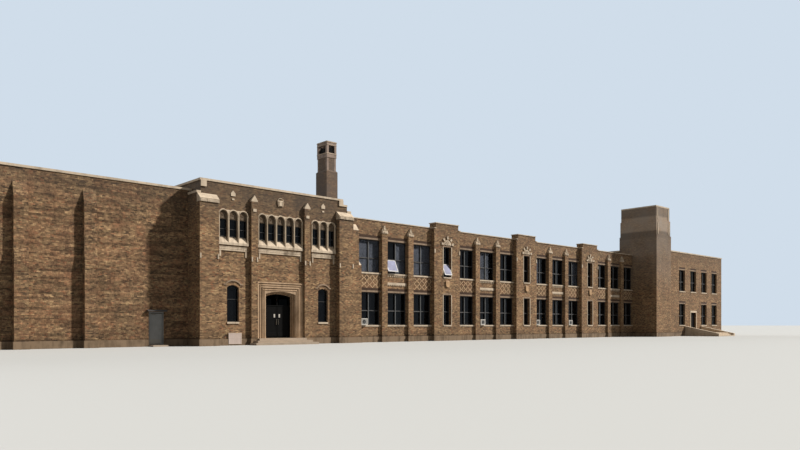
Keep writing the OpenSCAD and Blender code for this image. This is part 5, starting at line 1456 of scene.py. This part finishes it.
class SCHOOL_OT_doors(bpy.types.Operator):
    """Fittings of the main doors and of the hall's side door"""
    bl_idname = "school.doors"
    bl_label = "Door fittings"

    def execute(self, context):
        for name, body, side in (("left_door_leaf", "left_leaf", -1), ("right_door_leaf", "right_leaf", 1)):
            self.main_leaf(name, body, side)
        self.hall_leaf()
        return {"FINISHED"}

    def main_leaf(self, node, body, side):
        """A small light, a kick plate, two panels and a pull, all on one leaf."""
        low, high = box(node)
        foot, y = low.z + PIN_L, low.y
        meeting, hinge = (high.x, low.x) if side < 0 else (low.x, high.x)
        left, right = sorted((meeting + side * LIGHT_EDGE, meeting + side * (LIGHT_EDGE + LIGHT_W)))
        light_z = foot + LIGHT_Z
        bead = framed((left - LIGHT_BEAD, y - 0.0008, light_z - LIGHT_BEAD),
                      (right + LIGHT_BEAD, y + 0.0008, light_z + LIGHT_H + LIGHT_BEAD), 0.0018)
        pane = raised((left, y + 0.0003, light_z), (right, y + 0.0010, light_z + LIGHT_H), FLAT_EDGE)
        left, right = sorted((meeting + side * 0.004, hinge - side * 0.006))
        kick = raised((left, y - PLATE_T, foot + 0.003), (right, y, foot + 0.030), PLATE_EDGE)
        fields = [framed((left + 0.003, y - 0.0007, foot + z0), (right - 0.003, y, foot + z1), 0.0016)
                  for z0, z1 in LEAF_FIELDS]
        pull_x, pull_y = meeting + side * 0.006, y - PULL_PROUD
        pull = [rod(*((pull_x, pull_y, foot + z) for z in PULL_SPAN), 0.0012)]
        pull += [rod((pull_x, y, foot + z), (pull_x, pull_y - 0.0002, foot + z), 0.0010, THIN_SIDES)
                 for z in PULL_POSTS]
        parts = [dressed(bead, "bronze_paint"), dressed(pane, "pale_glass")]
        parts += [dressed(part, "bronze_paint") for part in [kick] + fields]
        parts += [dressed(bar, "door_metal") for bar in pull]
        finished(parts, node.replace("door_leaf", "leaf_fittings"), body=body)

    def hall_leaf(self):
        """A kick plate, a raised bead, a lever on its rose and a closer."""
        low, high = box("hall_door")
        foot, top, y = low.z + PIN_L, high.z - PIN_L, low.y
        kick = raised((low.x + 0.005, y - PLATE_T, foot + 0.004), (high.x - 0.005, y, foot + 0.034),
                      FLAT_EDGE)
        left, right = low.x + HALL_MARGIN, high.x - HALL_MARGIN
        field = framed((left, y - PLATE_T, foot + 0.044), (right, y, top - HALL_MARGIN), 0.0020)
        x, z = high.x - 0.010, foot + LEVER_Z
        rose = rod((x, y, z), (x, y - 0.0012, z), 0.0030, BOSS_SIDES, 0.0026)
        neck = rod((x, y, z), (x, y - LEVER_PROUD - 0.0002, z), LEVER_R, THIN_SIDES)
        lever = rod((x + 0.001, y - LEVER_PROUD, z), (x - 0.011, y - LEVER_PROUD, z - 0.001),
                    LEVER_R, THIN_SIDES, 0.0007)
        closer = block((left, y - 0.0034, top - 0.0085), (left + CLOSER_L, y, top - 0.0040))
        parts = [dressed(kick, "kick_metal"), dressed(field, "grey_paint")]
        parts += [dressed(part, "door_metal") for part in (rose, neck, lever, softened(closer, 0.0005))]
        finished(parts, "hall_door_fittings", body="side_door")


class SCHOOL_OT_chimney(bpy.types.Operator):
    """Louvres in the chimney's lantern and the mouldings round it"""
    bl_idname = "school.chimney"
    bl_label = "Chimney lantern"

    def execute(self, context):
        low, high = box("chimney_lantern")
        size = high - low
        centre = ((low.x + high.x) / 2, (low.y + high.y) / 2, 0.0)
        foot = high.z - LANTERN_HEAD - LANTERN_OPEN
        louvres = []
        for quarter in range(4):
            across, deep = (size.x, size.y) if quarter % 2 == 0 else (size.y, size.x)
            slat = self.slat(across / 2 - LANTERN_CORNER)
            slat = moved(slat, (0.0, 0.0140 - deep / 2, foot + 0.004))
            louvres.append(moved(turned(slat, quarter * math.pi / 2, "Z"), centre))
        # The louvres carry painted shade of the lantern's inside
        finished(louvres, "lantern_louvres", "lead_paint_and_shade")
        rings = []
        for z, height, out in ((high.z - 0.012, 0.008, 0.004), (high.z - LANTERN_HEAD + 0.004, 0.005, 0.0025),
                               (foot - 0.012, 0.006, 0.003)):
            ring = block((low.x - out, low.y - out, z), (high.x + out, high.y + out, z + height))
            rings.append(softened(pierced(ring, UP, out + 0.001), 0.0008))
        finished(rings, "lantern_mouldings", "carved_stone")
        return {"FINISHED"}

    def slat(self, half):
        """A stack of sloping louvres."""
        slat = block((-half, -0.0050, 0.0), (half, 0.0050, 0.0014))
        slat = turned(stepped(slat, UP, SLIM_EDGE), LOUVRE_TILT, "X")
        return row(slat, LOUVRES, (0.0, 0.0, LANTERN_OPEN / LOUVRES))


PROPERTY_GROUPS = {
    "school_brickwork": SchoolBrickwork,
    "school_stonework": SchoolStonework,
    "school_glazing": SchoolGlazing,
    "school_studio": SchoolStudio,
}
OPERATORS = [
    SCHOOL_OT_finishes, SCHOOL_OT_studio, SCHOOL_OT_buttresses, SCHOOL_OT_lintels, SCHOOL_OT_spandrels,
    SCHOOL_OT_glazing, SCHOOL_OT_blinds, SCHOOL_OT_sashes, SCHOOL_OT_coolers, SCHOOL_OT_arches,
    SCHOOL_OT_doorway, SCHOOL_OT_crest, SCHOOL_OT_caps, SCHOOL_OT_bays, SCHOOL_OT_doors,
    SCHOOL_OT_chimney,
]


class SCHOOL_PT_panel(bpy.types.Panel):
    """Lists the steps that dress the model"""
    bl_idname = "SCHOOL_PT_panel"
    bl_label = "School building"
    bl_space_type = "VIEW_3D"
    bl_region_type = "UI"
    bl_category = "School"

    def draw(self, context):
        for step in OPERATORS:
            self.layout.operator(step.bl_idname)


def register():
    for group in PROPERTY_GROUPS.values():
        bpy.utils.register_class(group)
    for name, group in PROPERTY_GROUPS.items():
        setattr(bpy.types.Scene, name, bpy.props.PointerProperty(type=group))
    for operator in OPERATORS:
        bpy.utils.register_class(operator)
    bpy.utils.register_class(SCHOOL_PT_panel)


def unregister():
    bpy.utils.unregister_class(SCHOOL_PT_panel)
    for operator in reversed(OPERATORS):
        bpy.utils.unregister_class(operator)
    for name, group in PROPERTY_GROUPS.items():
        delattr(bpy.types.Scene, name)
        bpy.utils.unregister_class(group)


def main():
    register()
    for operator in OPERATORS:
        group, name = operator.bl_idname.split(".")
        getattr(getattr(bpy.ops, group), name)()


if __name__ == "__main__":
    main()
